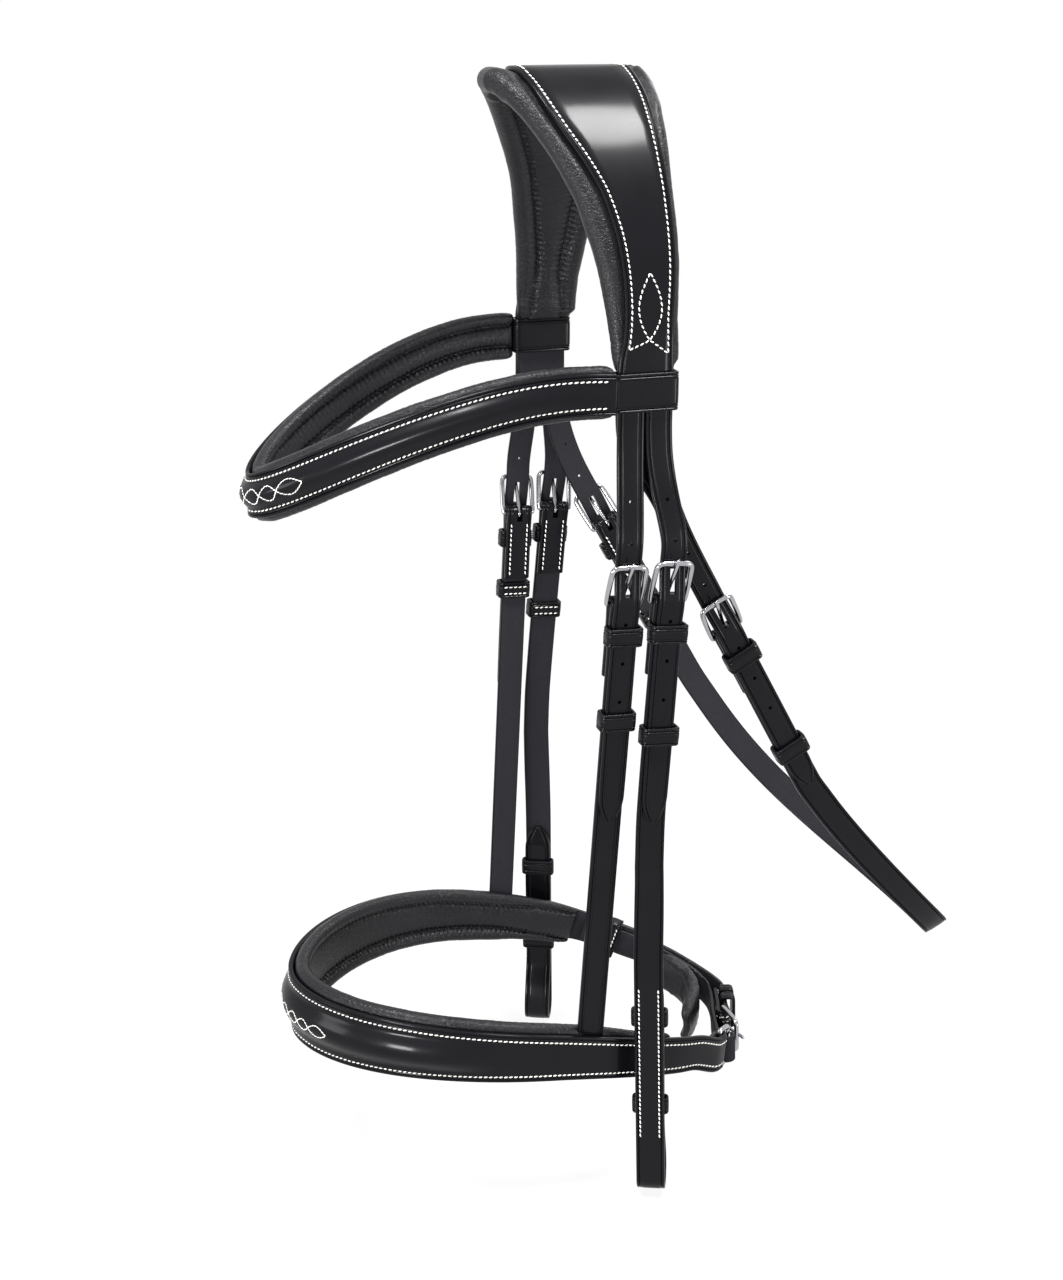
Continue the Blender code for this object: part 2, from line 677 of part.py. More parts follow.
def leg_rings(leg, back, side):
    stations = leg_stations(leg, back)
    if side < 0:
        stations = mirrored(stations)
    return [rectangle(s) for s in stations]


def headpiece_leather():
    """The crown and its four split billets, cut from one hide."""
    half = CROWN_WIDTH / 2
    rings = [crown_ring(p, n, *crown_edges(share, False)) for share, p, n in arch_stations(15)]
    below = {}
    for side in (1, -1):
        below[side] = crown_ring(Vector((side * BROW_OUT, 0, SPLIT_HEIGHT)), X * side,
                                 BROW_BACK - half, BROW_BACK + half)
    bm = bmesh.new()
    rows = skin(bm, [below[1], *rings, below[-1]], start_cap=False, end_cap=False)
    for side, row in ((1, rows[0]), (-1, rows[-1])):
        bm.faces.new((row[1], row[2], row[5], row[6]))
        billets = ((hanger_frame(), (row[0], row[1], row[6], row[7]), -1),
                   (cheek_frame(), (row[2], row[3], row[4], row[5]), 1))
        for leg, start, place in billets:
            back = BROW_BACK + place * (BILLET_WIDTH + SLIT) / 2
            skin(bm, [start, *leg_rings(leg, back, side)], start_cap=False)
    made = finish("headpiece_leather", bm, BRIDLE_LEATHER)
    cuts = []
    for side in (1, -1):
        for leg, place in ((hanger_frame(), -1), (cheek_frame(), 1)):
            placed = MIRROR @ leg if side < 0 else leg
            cuts += billet_holes(placed, 1, 3)
            back = BROW_BACK + place * (BILLET_WIDTH + SLIT) / 2
            cuts.append(high_hole(leg_stations(leg, back)[:LEG_POINTS], side))
    cut(made, cuts, "headpiece_hole_cutter")


def pad_section(low, high, roll, depth, outer=0.0):
    """Section of a padding as (inward, across): flat towards the leather, a roll along each edge."""
    arc = [math.radians(a) for a in (45, 0, -45)]
    right = [(outer + roll - roll * math.sin(a), high - roll + roll * math.cos(a)) for a in arc]
    left = [(inward, low + high - across) for inward, across in reversed(right)]
    groove = 2.3 * roll
    return [(outer, low + roll), (outer, high - roll), *right, (outer + 2 * roll, high - roll),
            (outer + depth, high - groove), (outer + depth, low + groove), (outer + 2 * roll, low + roll), *left]


def headpiece_padding():
    """Padded lining of the crown: a roll along each edge and a flat channel between them."""
    rings = []
    for share, p, n in arch_stations(15):
        front, rear = crown_edges(share, True)
        full = 0.62 + 0.38 * ease(share * 5)
        section = pad_section(front, rear, CROWN_ROLL * full, CROWN_PAD_DEPTH, STRAP_THICKNESS / 2 + GAP)
        rings.append([p - n * inward + Y * across for inward, across in section])
    bm = bmesh.new()
    skin(bm, rings)
    finish("headpiece_padding", bm, PADDING_LEATHER, smooth=True)


# Browband
def browband_station(angle):
    """Centre, outward normal and up direction of the browband; angle 0 is the forehead."""
    s, c = math.sin(angle), math.cos(angle)
    half = BROW_OUT + STRAP_THICKNESS / 2 + GAP + LOOP_WALL / 2
    start = BROW_BACK - CROWN_WIDTH / 2 - GAP - LOOP_WALL - GAP
    point = Vector((math.copysign(half * abs(s) ** 1.12, s), start - BROWBAND_REACH * abs(c) ** 1.42,
                    BROWBAND_LIFT * ease(abs(c) * 2) * (1 - c) - LOOP_DROP - BROWBAND_DIP * abs(c) ** 2.6))
    return point, BROWBAND_HEIGHT / 2 + BROWBAND_SWELL * c / 2


def band_stations(place, angles, thickness):
    """Stations of a band whose width stays as upright as its route allows."""
    step = math.radians(0.5)
    stations = []
    for angle in angles:
        point, half = place(angle)
        inside = max(min(angle, angles[-1] - step), angles[0] + step)
        along = (place(inside + step)[0] - place(inside - step)[0]).normalized()
        wide = (Z - along * Z.dot(along)).normalized()
        stations.append((point, along.cross(wide), wide, half, thickness / 2))
    return stations


def band_ring(station, raised):
    """Section of a band: flat behind, with a raised middle in front."""
    p, n, w, half, thick = station
    front = [p + n * (thick + raised * lift) + w * half * across for across, lift in BAND_SECTION_SHARES]
    return front + [p - n * thick + w * half, p - n * thick - w * half]


def pad_ring(station, roll, depth, overhang, full):
    p, n, w, half, thick = station
    reach = half + overhang
    section = pad_section(-reach, reach, roll * full, depth, thick + PAD_GAP)
    return [p - n * inward + w * across for inward, across in section]


def browband():
    """The shaped browband, its padding and the two loops that the headpiece passes through."""
    base = empty("browband_mount", Matrix.Translation((0, BROW_BACK, -LOOP_DROP)))
    shift = Matrix.Translation(-base.matrix_basis.translation)
    angles = even_angles(browband_station, -math.pi / 2, math.pi / 2, 37)
    stations = band_stations(browband_station, angles, BAND_THICKNESS - 2 * GAP)
    bm = bmesh.new()
    rings = [band_ring(s, BROWBAND_RAISE * ease((math.pi / 2 - abs(a)) * 1.9)) for s, a in zip(stations, angles)]
    skin(bm, rings)
    bmesh.ops.transform(bm, matrix=shift, verts=bm.verts)
    finish("browband_leather", bm, BRIDLE_LEATHER, base, smooth=True)
    bm = bmesh.new()
    inner = [(s, a) for s, a in zip(stations, angles) if abs(a) < math.radians(86)]
    skin(bm, [pad_ring(s, BAND_ROLL, BAND_PAD_DEPTH, BAND_OVERHANG * ease((math.radians(92) - abs(a)) * 5),
                       0.7 + 0.3 * ease((math.radians(90) - abs(a)) * 5)) for s, a in inner])
    bmesh.ops.transform(bm, matrix=shift, verts=bm.verts)
    finish("browband_padding", bm, PADDING_LEATHER, base, smooth=True)
    for side in (1, -1):
        made = loop_piece(SIDE_NAMES[side] + "_browband_loop", base, side,
                          THROAT_TOP_OUT - BILLET_THICKNESS / 2 - BROW_OUT, STRAP_THICKNESS / 2,
                          CROWN_WIDTH / 2, (LOOP_WALL, LOOP_WALL, LOOP_WALL), LOOP_HEIGHT)
        made.location.x = side * BROW_OUT


# Cheekpieces
def bit_twist(height, top, side):
    """How far the cheekpiece has turned about itself at a height above the bit loop's foot."""
    return -side * BIT_TWIST * ease((top - height) / TWIST_SPREAD)


def bit_loop_points():
    """The loop round the bit and the billet that comes back up on the inside."""
    radius = BIT_LOOP_RADIUS + STRAP_THICKNESS / 2
    middle = (LAYER_OFFSET - radius, STRAP_THICKNESS / 2 + radius)
    turns = [-math.pi * k / 9 for k in range(10)]
    loop = [(middle[0] + radius * math.cos(a), middle[1] + radius * math.sin(a)) for a in turns]
    start, end = (LAYER_OFFSET - 2 * radius, middle[1]), (-LAYER_OFFSET, BIT_LOOP_LENGTH)
    rise = [(start[0] + (end[0] - start[0]) * ease(k / 5), start[1] + (end[1] - start[1]) * k / 5)
            for k in range(1, 6)]
    return loop + rise


def cheekpiece_stations(side):
    """Fold, outer run, gentle bend, twist and bit loop of a near cheekpiece."""
    top = (cheek_bend() - Vector((BIT_OUT, BIT_BACK, -BIT_DROP))).length - CHEEK_BEND_SPREAD
    upper = chape_points(CHAPE_LENGTH) + [(LAYER_OFFSET, CHEEK_BEND_SPREAD - CHEEK_BEND)]
    lower = [(LAYER_OFFSET, z) for z in np.linspace(top, top - TWIST_SPREAD, 8)]
    lower += bit_loop_points()
    up = planar_stations(upper, CHEEK_WIDTH, STRAP_THICKNESS)
    down = planar_stations(lower, CHEEK_WIDTH, STRAP_THICKNESS, lambda z: bit_twist(z, top, side))
    p, n, w, half, thick = down[-1]
    billet = [(p, n, w, half, thick), (Vector((p.x, p.y, BIT_BILLET_RISE - BILLET_POINT)), n, w, half, thick)]
    down = down[:-1] + pointed(billet, BILLET_POINT)
    return in_frame(cheek_frame(), up) + in_frame(bit_frame(), down)


def cheekpiece(side):
    stations = cheekpiece_stations(side)
    made = strap(SIDE_NAMES[side] + "_cheekpiece", stations, None, side)
    cuts = [fold_slot(cheek_frame()), hole(bit_frame(), -LAYER_OFFSET, STUD_RISE, STUD_POST + GAP,
                                           STRAP_THICKNESS / 2 + GAP, 8, -side * BIT_TWIST)]
    if side < 0:
        cuts = [[[MIRROR @ point for point in end] for end in ends] for ends in cuts]
    cut(made, cuts, SIDE_NAMES[side] + "_cheekpiece_cutter")
    placed = MIRROR @ bit_frame() @ MIRROR if side < 0 else bit_frame()
    base = empty(SIDE_NAMES[side] + "_bit_end", placed @ Matrix.Rotation(-BIT_TWIST, 4, "Z"))
    for part, rise in (("upper", UPPER_BIT_KEEPER_RISE), ("lower", LOWER_BIT_KEEPER_RISE)):
        loop = loop_piece(SIDE_NAMES[side] + "_bit_keeper_" + part, base, side,
                          -LAYER_OFFSET - STRAP_THICKNESS / 2, -LAYER_OFFSET + STRAP_THICKNESS / 2,
                          CHEEK_WIDTH / 2, (KEEPER_WALL, KEEPER_WALL, KEEPER_BACK), KEEPER_HEIGHT)
        loop.location.z = rise
    hook_stud(SIDE_NAMES[side] + "_hook_stud", base, side).location.z = STUD_RISE


def hook_stud(name, parent, side):
    """A turned stud: a foot under the cheekpiece, a post through the billet and a round head."""
    foot = LAYER_GAP / 2 - GAP
    under = -LAYER_OFFSET - STRAP_THICKNESS / 2 - GAP
    head = under - STUD_POST
    profile = [(foot, 0), (foot, STUD_HEAD), (-foot, STUD_HEAD), (-foot, STUD_POST), (under, STUD_POST),
               (under, STUD_HEAD), (head + GAP, STUD_HEAD), (head, STUD_POST), (head, 0)]
    bm = bmesh.new()
    verts = [bm.verts.new((x, y, 0)) for x, y in profile]
    edges = [bm.edges.new(pair) for pair in zip(verts, verts[1:])]
    bmesh.ops.spin(bm, geom=verts + edges, cent=(0, 0, 0), axis=(1, 0, 0), angle=2 * math.pi, steps=10,
                   use_merge=True)
    bmesh.ops.remove_doubles(bm, verts=bm.verts, dist=GAP / 10)
    return finish(name, bm, STAINLESS_STEEL, parent, side, smooth=True)


# Noseband
def nose_place(angle):
    """Centre and half height of the noseband; angle 0 is the nose, 90 degrees the near side."""
    s, c = math.sin(angle), math.cos(angle)
    if c > 0:
        x, back = abs(s) ** 1.12, -NOSE_FRONT_DEPTH * c
    else:
        x, back = abs(s) ** 1.17, NOSE_REAR_DEPTH * abs(c) ** 0.76
    q = back / NOSE_REAR_DEPTH
    point = Vector((math.copysign(NOSE_HALF_WIDTH * x, s), NOSE_BACK + back,
                    -NOSE_DROP - NOSE_FALL * q - NOSE_SAG * q * q))
    return point, (NOSE_HEIGHT - NOSE_TAPER * q) / 2


def nose_station(angle):
    """One station of the noseband, wherever it lies on the ring."""
    step = math.radians(0.5)
    point, half = nose_place(angle)
    along = (nose_place(angle + step)[0] - nose_place(angle - step)[0]).normalized()
    wide = (Z - along * Z.dot(along)).normalized()
    return point, along.cross(wide), wide, half, BAND_THICKNESS / 2


def straight_pair(start, end):
    """Two stations joined by a straight, even stretch for a runner to slide on."""
    (a, _, _, half_a, thick), (b, _, _, half_b, _) = nose_station(start), nose_station(end)
    along = (b - a).normalized()
    wide = (Z - along * Z.dot(along)).normalized()
    half = (half_a + half_b) / 2
    return [(a, along.cross(wide), wide, half, thick), (b, along.cross(wide), wide, half, thick)]


def runner_stretch():
    """The far side's straight stretch, from rear to front like the rest of the band."""
    return straight_pair(-NOSE_RUNNER_END, -NOSE_RUNNER_START)


def crank_frame():
    """Frame of the crank buckle: x backwards, z along the strap towards the near side."""
    origin = Vector((CRANK_OUT, CRANK_BACK, -CRANK_DROP))
    toward = Vector((math.cos(CRANK_TURN), -math.sin(CRANK_TURN), math.tan(CRANK_CLIMB)))
    return frame_at(origin, origin - toward, Y)


def dee_frame():
    """Frame of the dee: its near bar at the origin, z towards the crank buckle."""
    origin = Vector((DEE_OUT, DEE_BACK, -DEE_DROP))
    toward = Vector((-math.cos(DEE_TURN), math.sin(DEE_TURN), -math.sin(DEE_SLOPE)))
    return frame_at(origin, origin - toward, Vector((math.sin(DEE_TURN), math.cos(DEE_TURN), 0)))


def with_width(stations, half, wide=None):
    return [(p, n, wide or w, half, t) for p, n, w, _, t in stations]


def flipped(stations):
    """The same stations with the width direction turned end for end."""
    return [(p, n, -w, half, t) for p, n, w, half, t in stations]


def noseband_leather():
    """One strap from the chape behind the chin, round the nose, to the fold that holds the dee."""
    crank = in_frame(crank_frame(), planar_stations(chape_points(CRANK_CHAPE), CRANK_WIDTH, STRAP_THICKNESS))
    dee = in_frame(dee_frame(), planar_stations(chape_points(DEE_CHAPE), NEAR_END_HEIGHT, STRAP_THICKNESS))
    straight = Vector((LAYER_OFFSET, 0, GAP - CRANK_BELOW_BUCKLE))
    tail = (crank_frame() @ straight, *crank[-1][1:])
    far = [nose_station(-a) for a in FAR_END_ANGLES]
    angles = even_angles(nose_place, -NOSE_BAND_ANGLE, NEAR_END_ANGLE, 35)
    rings = [band_ring(s, 0) for s in crank] + [band_ring(tail, 0)]
    rings += [band_ring(s, 0) for s in with_width(far, CRANK_WIDTH / 2 + GAP)]
    rings += [band_ring(s, 0) for s in runner_stretch()]
    for angle in angles:
        raised = NOSE_RAISE * ease((NOSE_RAISE_ANGLE - abs(angle)) * 2.2)
        rings.append(band_ring(nose_station(angle), raised))
    rings += [band_ring(s, 0) for s in flipped(reversed(dee))]
    bm = bmesh.new()
    skin(bm, rings)
    made = finish("noseband_leather", bm, BRIDLE_LEATHER, smooth=True)
    cut(made, [fold_slot(crank_frame())], "noseband_slot_cutter")


def noseband_padding():
    """Padded lining of the noseband, with a pocket for each hanger."""
    angles = even_angles(nose_place, -NOSE_PAD_ANGLE, NOSE_PAD_ANGLE, 33)
    rings = []
    for angle in angles:
        full = 0.6 + 0.4 * ease((NOSE_PAD_ANGLE - abs(angle)) * 6)
        rings.append(pad_ring(nose_station(angle), NOSE_ROLL, NOSE_PAD_DEPTH, NOSE_OVERHANG * full, full))
    bm = bmesh.new()
    skin(bm, rings)
    made = finish("noseband_padding", bm, PADDING_LEATHER, smooth=True)
    cuts = []
    length = hanger_length()
    for side in (1, -1):
        frame = hanger_frame()
        frame = MIRROR @ frame if side < 0 else frame
        inner = LAYER_OFFSET - STRAP_THICKNESS / 2 - GAP
        cuts.append(slot(frame, inner, inner + STRAP_THICKNESS + CUT_OVERRUN, HANGER_WIDTH + 2 * GAP,
                         -length - GAP, HANGER_TUCK + CUT_OVERRUN - length))
    cut(made, cuts, "noseband_pocket_cutter")


def hanger_length():
    return (Vector((HANGER_BUCKLE_OUT, HANGER_BUCKLE_BACK, -BUCKLE_DROP)) - hanger_foot()).length


def noseband_hanger(side):
    frame = hanger_frame()
    held = MIRROR @ frame @ MIRROR if side < 0 else frame
    base = empty(SIDE_NAMES[side] + "_hanger", held)
    points = chape_points(CHAPE_LENGTH) + [(LAYER_OFFSET, -hanger_length())]
    made = strap(SIDE_NAMES[side] + "_noseband_hanger",
                 planar_stations(points, HANGER_WIDTH, STRAP_THICKNESS), base, side)
    cutter = cut(made, [fold_slot(Matrix.Identity(4))], SIDE_NAMES[side] + "_hanger_cutter")
    cutter.parent = base


def noseband_runner():
    """Sliding loop on the far side, round the band and the crank strap under it."""
    (a, n, w, half, thick), (b, _, _, _, _) = runner_stretch()
    along = (b - a).normalized()
    rotation = Matrix((n, w, n.cross(w))).transposed().to_4x4()
    base = empty("noseband_runner_mount", Matrix.Translation((a + b) / 2) @ rotation)
    inner = -thick - 2 * GAP - BILLET_THICKNESS
    loop_piece("noseband_runner", base, 1, inner, thick, half, (KEEPER_WALL,) * 3, KEEPER_HEIGHT)
    return along


# Crank closure
def dee_far_bar():
    """Centre of the dee's far bar, which the crank strap turns round."""
    return dee_frame() @ Vector((0, 0, DEE_LENGTH))


def crank_strap():
    """From under the far side of the band, inside to the dee, round it and back to the buckle."""
    frame = crank_frame()
    bar = frame.inverted() @ dee_far_bar()
    inner = -BILLET_OVER_FOLD
    turn = np.radians(np.linspace(205, -40, 11))
    loop = [(bar.x + DEE_LOOP_RADIUS * math.cos(a), bar.z + DEE_LOOP_RADIUS * math.sin(a)) for a in turn]
    points = [(inner, -CRANK_BELOW_BUCKLE), (inner, FOLD_OUTSIDE), *loop]
    start = planar_stations(points, CRANK_WIDTH, BILLET_THICKNESS)
    buckle = billet_at_buckle(CRANK_WIDTH, CRANK_BELOW_BUCKLE - CRANK_POINT / 2, CRANK_POINT)
    closing = in_frame(frame, start + buckle)
    under = BAND_THICKNESS / 2 + GAP + BILLET_THICKNESS / 2
    far = runner_stretch()[::-1] + [nose_station(-a) for a in FAR_END_ANGLES[:0:-1]]
    spare = (0, GAP / 2, 2 * GAP, 3 * GAP, 4 * GAP)
    far = [(p - n * (under + more), n, w, CRANK_WIDTH / 2, BILLET_THICKNESS / 2)
           for (p, n, w, _, _), more in zip(far, spare)]
    made = strap("crank_strap", [(p, -n, w, half, t) for p, n, w, half, t in far] + closing)
    cut(made, billet_holes(frame, 0, 0), "crank_strap_cutter")


def crank_dee():
    half = NEAR_END_HEIGHT / 2 + GAP + WIRE / 2
    points = [Y * y + Z * z for y, z in rounded_frame(half, DEE_LENGTH, WIRE / 2, WIRE)]
    bm = bmesh.new()
    tube(bm, points, X, WIRE / 2, 8, closed=True)
    base = empty("crank_dee_mount", dee_frame())
    finish("crank_dee", bm, STAINLESS_STEEL, base, smooth=True)


def crank_closure():
    base = empty("crank_buckle", crank_frame())
    buckle_frame("crank_buckle_frame", base, 1, CRANK_WIDTH)
    buckle_tongue("crank_buckle_tongue", base, 1)
    keeper("crank_keeper", base, 1, CRANK_WIDTH, CRANK_KEEPER_DROP, CRANK_KEEPER_HEIGHT)
    keeper("crank_runner", base, 1, CRANK_WIDTH, CRANK_RUNNER_DROP, CRANK_KEEPER_HEIGHT)
    crank_strap()
    crank_dee()


def chin_pad():
    """Soft pad inside the far end of the band, whose near end stands free behind the chin."""
    face = BAND_THICKNESS / 2 + BILLET_THICKNESS + 10 * GAP
    start, leave = nose_station(-CHIN_PAD_START), nose_station(-CHIN_PAD_LEAVE)
    first, second = start[0] - start[1] * (face - 3 * GAP), leave[0] - leave[1] * face
    end = Vector((CHIN_END_OUT, CHIN_END_BACK, -CHIN_END_DROP))
    along = (second - first).normalized()
    back = Vector((1, -1, 0)).normalized()
    route = bezier((second, second + along * CHIN_LEAD, end - back * 2 * CHIN_LEAD, end), 8)
    rings = []
    stations = route_stations([first, (first + second) / 2, *route], Z, CHIN_PAD_HEIGHT, CHIN_PAD_DEPTH)
    last = len(stations) - 1
    for i, (p, n, w, half, _) in enumerate(stations):
        full = 0.72 if i in (0, last) else 1.0
        section = pad_section(-half * full, half * full, CHIN_ROLL * full, CHIN_PAD_DEPTH * full)
        rings.append([p + n * inward + w * across for inward, across in section])
    bm = bmesh.new()
    skin(bm, rings)
    finish("chin_pad", bm, PADDING_LEATHER, smooth=True)


# Throatlatch
def throat_stations(side):
    """Stations of one end of the throatlatch: chape, fold and straight run to its curve."""
    points = chape_points(CHAPE_LENGTH) + [(LAYER_OFFSET, -THROAT_BELOW_BUCKLE)]
    stations = in_frame(throat_frame(side), planar_stations(points, THROAT_WIDTH, STRAP_THICKNESS))
    return mirrored(stations) if side < 0 else stations


def throatlatch():
    """The long strap under the throat, folded round a buckle at each end."""
    near, far = throat_stations(1), throat_stations(-1)
    low = Vector((THROAT_LOW_OUT, THROAT_LOW_BACK, -THROAT_LOW_DROP))
    a, b = near[-1][0], far[-1][0]
    down_a = near[-1][2].cross(near[-1][1]).normalized()
    down_b = (far[-1][0] - far[-2][0]).normalized()
    turn = X * THROAT_TURN
    first = bezier((a, a + down_a * (low - a).length * THROAT_NEAR_SHARE, low + turn, low), 12)
    rise = (a - low) * THROAT_RISE_SHARE - turn
    second = bezier((low, low + rise, b + down_b * (low - b).length * THROAT_FAR_SHARE, b), 13)
    path = relaxed(first + second[1:], THROAT_RELAX)
    curve = route_stations(path, near[-1][2], THROAT_WIDTH, STRAP_THICKNESS, far[-1][2])[1:-1]
    made = strap("throatlatch", near + curve + far[::-1])
    cuts = [fold_slot(throat_frame(1)), fold_slot(MIRROR @ throat_frame(-1))]
    cut(made, cuts, "throatlatch_cutter")


def throatlatch_billet(side):
    """Wide at the top, under the crown, and narrow from the browband down to its buckle."""
    frame = throat_frame(side)
    buckle = in_frame(frame, billet_at_buckle(BILLET_WIDTH, THROAT_BELOW_BUCKLE, BILLET_POINT))
    narrow = THROAT_TOP_WIDTH / 2 - BILLET_WIDTH / 2
    start = Vector((THROAT_TOP_OUT, BROW_BACK + narrow, LOOP_LOWEST))
    end, normal = buckle[0][0], buckle[0][1]
    along = buckle[0][2].cross(normal)
    reach = (start - end).length * 0.36
    route = bezier((start, start - Z * reach, end - along * reach, end), THROAT_POINTS)
    stations = route_stations(route, Y, BILLET_WIDTH, BILLET_THICKNESS, buckle[0][2])[:-1]
    spare = [narrow * (1 - ease(k / 3)) for k in range(len(stations))]
    stations = [(p - Y * more, n, w, half + more, t)
                for more, (p, n, w, half, t) in zip(spare, stations)]
    top = ARCH_START - GAP
    first = (Vector((THROAT_TOP_OUT, BROW_BACK, top)), X, Y, THROAT_TOP_WIDTH / 2, BILLET_THICKNESS / 2)
    made = strap(SIDE_NAMES[side] + "_throatlatch_billet", [first] + stations + buckle, None, side)
    placed = MIRROR @ frame if side < 0 else frame
    cuts = billet_holes(placed, 1, 3) + [high_hole(stations + buckle[:1], side)]
    cut(made, cuts, SIDE_NAMES[side] + "_throatlatch_billet_cutter")


def main():
    for old in list(bpy.data.objects):
        bpy.data.objects.remove(old)
    headpiece_leather()
    headpiece_padding()
    browband()
    noseband_leather()
    noseband_padding()
    noseband_runner()
    crank_closure()
    chin_pad()
    throatlatch()
    for side in (1, -1):
        name = SIDE_NAMES[side]
        cheekpiece(side)
        noseband_hanger(side)
        throatlatch_billet(side)
        buckle_set(name + "_cheek", cheek_frame(), side, CHEEK_WIDTH, CHEEK_RUNNER_DROP[side])
        buckle_set(name + "_hanger", hanger_frame(), side, HANGER_WIDTH, HANGER_RUNNER_DROP[side])
        buckle_set(name + "_throat", throat_frame(side), side, THROAT_WIDTH, THROAT_SIDES[side]["runner"])


main()
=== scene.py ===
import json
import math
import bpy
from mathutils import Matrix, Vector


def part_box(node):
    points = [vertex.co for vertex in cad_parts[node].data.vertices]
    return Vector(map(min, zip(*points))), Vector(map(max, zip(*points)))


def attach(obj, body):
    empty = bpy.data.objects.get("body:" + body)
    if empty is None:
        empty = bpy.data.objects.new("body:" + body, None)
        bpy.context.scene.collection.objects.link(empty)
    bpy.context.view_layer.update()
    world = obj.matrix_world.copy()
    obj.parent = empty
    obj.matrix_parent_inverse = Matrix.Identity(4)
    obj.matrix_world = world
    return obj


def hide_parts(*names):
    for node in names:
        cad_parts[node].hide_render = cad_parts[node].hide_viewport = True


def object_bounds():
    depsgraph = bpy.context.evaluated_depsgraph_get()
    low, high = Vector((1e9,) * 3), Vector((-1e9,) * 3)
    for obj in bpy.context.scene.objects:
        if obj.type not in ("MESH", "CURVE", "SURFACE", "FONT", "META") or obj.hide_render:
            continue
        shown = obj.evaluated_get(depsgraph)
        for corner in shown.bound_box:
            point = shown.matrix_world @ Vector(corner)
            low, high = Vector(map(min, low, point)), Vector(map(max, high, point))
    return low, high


bl_info = {
    "name": "Anatomic snaffle bridle",
    "version": (1, 0, 0),
    "blender": (4, 5, 0),
    "location": "View3D > Sidebar > Bridle",
    "description": "Dresses the packed bridle in stitched leather, soft padding and polished steel",
    "category": "Object",
}

import bmesh
import bpy
import numpy as np
from bpy.props import FloatProperty, FloatVectorProperty, PointerProperty
from bpy.types import Operator, Panel, PropertyGroup
from mathutils import Matrix, Vector, noise

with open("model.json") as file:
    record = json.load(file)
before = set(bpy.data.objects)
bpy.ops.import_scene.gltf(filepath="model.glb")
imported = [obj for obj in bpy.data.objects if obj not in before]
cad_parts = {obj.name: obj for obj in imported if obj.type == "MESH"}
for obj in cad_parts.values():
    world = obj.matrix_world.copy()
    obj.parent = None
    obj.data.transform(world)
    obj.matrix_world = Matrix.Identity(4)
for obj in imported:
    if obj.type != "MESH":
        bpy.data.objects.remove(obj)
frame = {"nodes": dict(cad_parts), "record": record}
CAD_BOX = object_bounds()
NODE_BODY = {node: body for body, nodes in frame["record"]["behaviour"]["bodies"].items() for node in nodes}

# The camera stands where the photograph was taken
CAMERA_PLACE = Vector((0.8205, -0.2764, 0.0437))
CAMERA_TURN = math.radians(72.25)
CAMERA_PITCH = math.radians(19.7)
CAMERA_LENS = 51.19
CAMERA_CLIP = 0.01

# Names
SIDES = {"near": 1, "far": -1}
LOOP_WORDS = ("_keeper", "_runner", "_browband_loop")
STEEL_WORDS = ("_frame", "_tongue", "_dee", "_stud")
BUCKLE_OF = {side + part: side + buckle for side in SIDES
             for part, buckle in (("_cheekpiece", "_cheek"), ("_noseband_hanger", "_hanger"))}

# Padding, each row with its node, run, depth, reach past the solid, taper, fill, seed and swell at the poll
PADS = (("headpiece_padding", "crown", 0.0078, 0.004, 0.010, 0.7, 1.0, 0.0048),
        ("browband_padding", "browband_leather", 0.0042, 0.013, 0.006, 0.7, 2.0, 0.0),
        ("noseband_padding", "noseband_leather", 0.0046, 0.024, 0.030, 0.75, 3.0, 0.0))
CHIN_RIDGES = 4.0
POLL_REACH = 0.085
POLL_RISE = 0.55
PAD_CUTS = 120
PAD_REACH = 0.016
PAD_STEP = 0.0008
PAD_ABOVE = 0.0004

# Shares that grow toward a padding's middle, or with a gather's puff, each as its least value and the rest
END_WIDTH = (0.80, 0.20)
END_ROLL = (0.25, 0.75)
END_DEPTH = (0.3, 0.7)
GATHER_PUFF = (0.55, 0.45)

# A padding's section, in shares of its half width, its roll's radius and its seam's depth
FLAT_SHARES = (0.0, 0.3, 0.6)
FLAT_END_SHARE = 1.2
ROLL_ANGLES = [math.radians(angle) for angle in range(-90, 76, 11)]
ROLL_FALL_SHARES = ((1.5, 1.78), (1.8, 1.45))
SEAM_SHARE = 2.05
CHANNEL_EDGE_SHARE = 2.5
SEAM_WALL_SHARES = (0.5, 0.45)
CHANNEL_SHARES = (0.8, 0.55, 0.28)
SEAM_DEPTH = 0.0015
SEAM_WIDTH = 0.0008
CHANNEL_CROWN = 0.0007

# Gathers along the seams, and the creases of soft leather
GATHER_SPREAD = 0.0024
GATHER_PITCH = 0.0030
GATHER_DEPTH = 0.0010
GATHER_DRIFT = 2.2
GATHER_SHIFT = 2.0
PUFF_SCALE = 140.0
FOLD_SCALES = (75.0, 120.0)
FOLD_DEPTH = 0.00022
CREASE_SCALES = (330.0, 210.0)
CREASE_SEED = 4.0
CREASE_DEPTH = -0.00016
WRINKLE_SCALES = (90.0, 260.0)
WRINKLE_DEPTHS = (0.00018, -0.00022)
WRINKLE_SHIFT = Vector((3.1, 0.7, 9.2))

# Middles that the bands face away from
HEAD_MIDDLE = np.array((0.0, 0.03, -0.12))
BROW_MIDDLE = np.array((0.0, 0.02, -0.14))
NOSE_MIDDLE = np.array((0.0, 0.02, -0.46))
THROAT_MIDDLE = np.array((0.0, 0.10, -0.30))

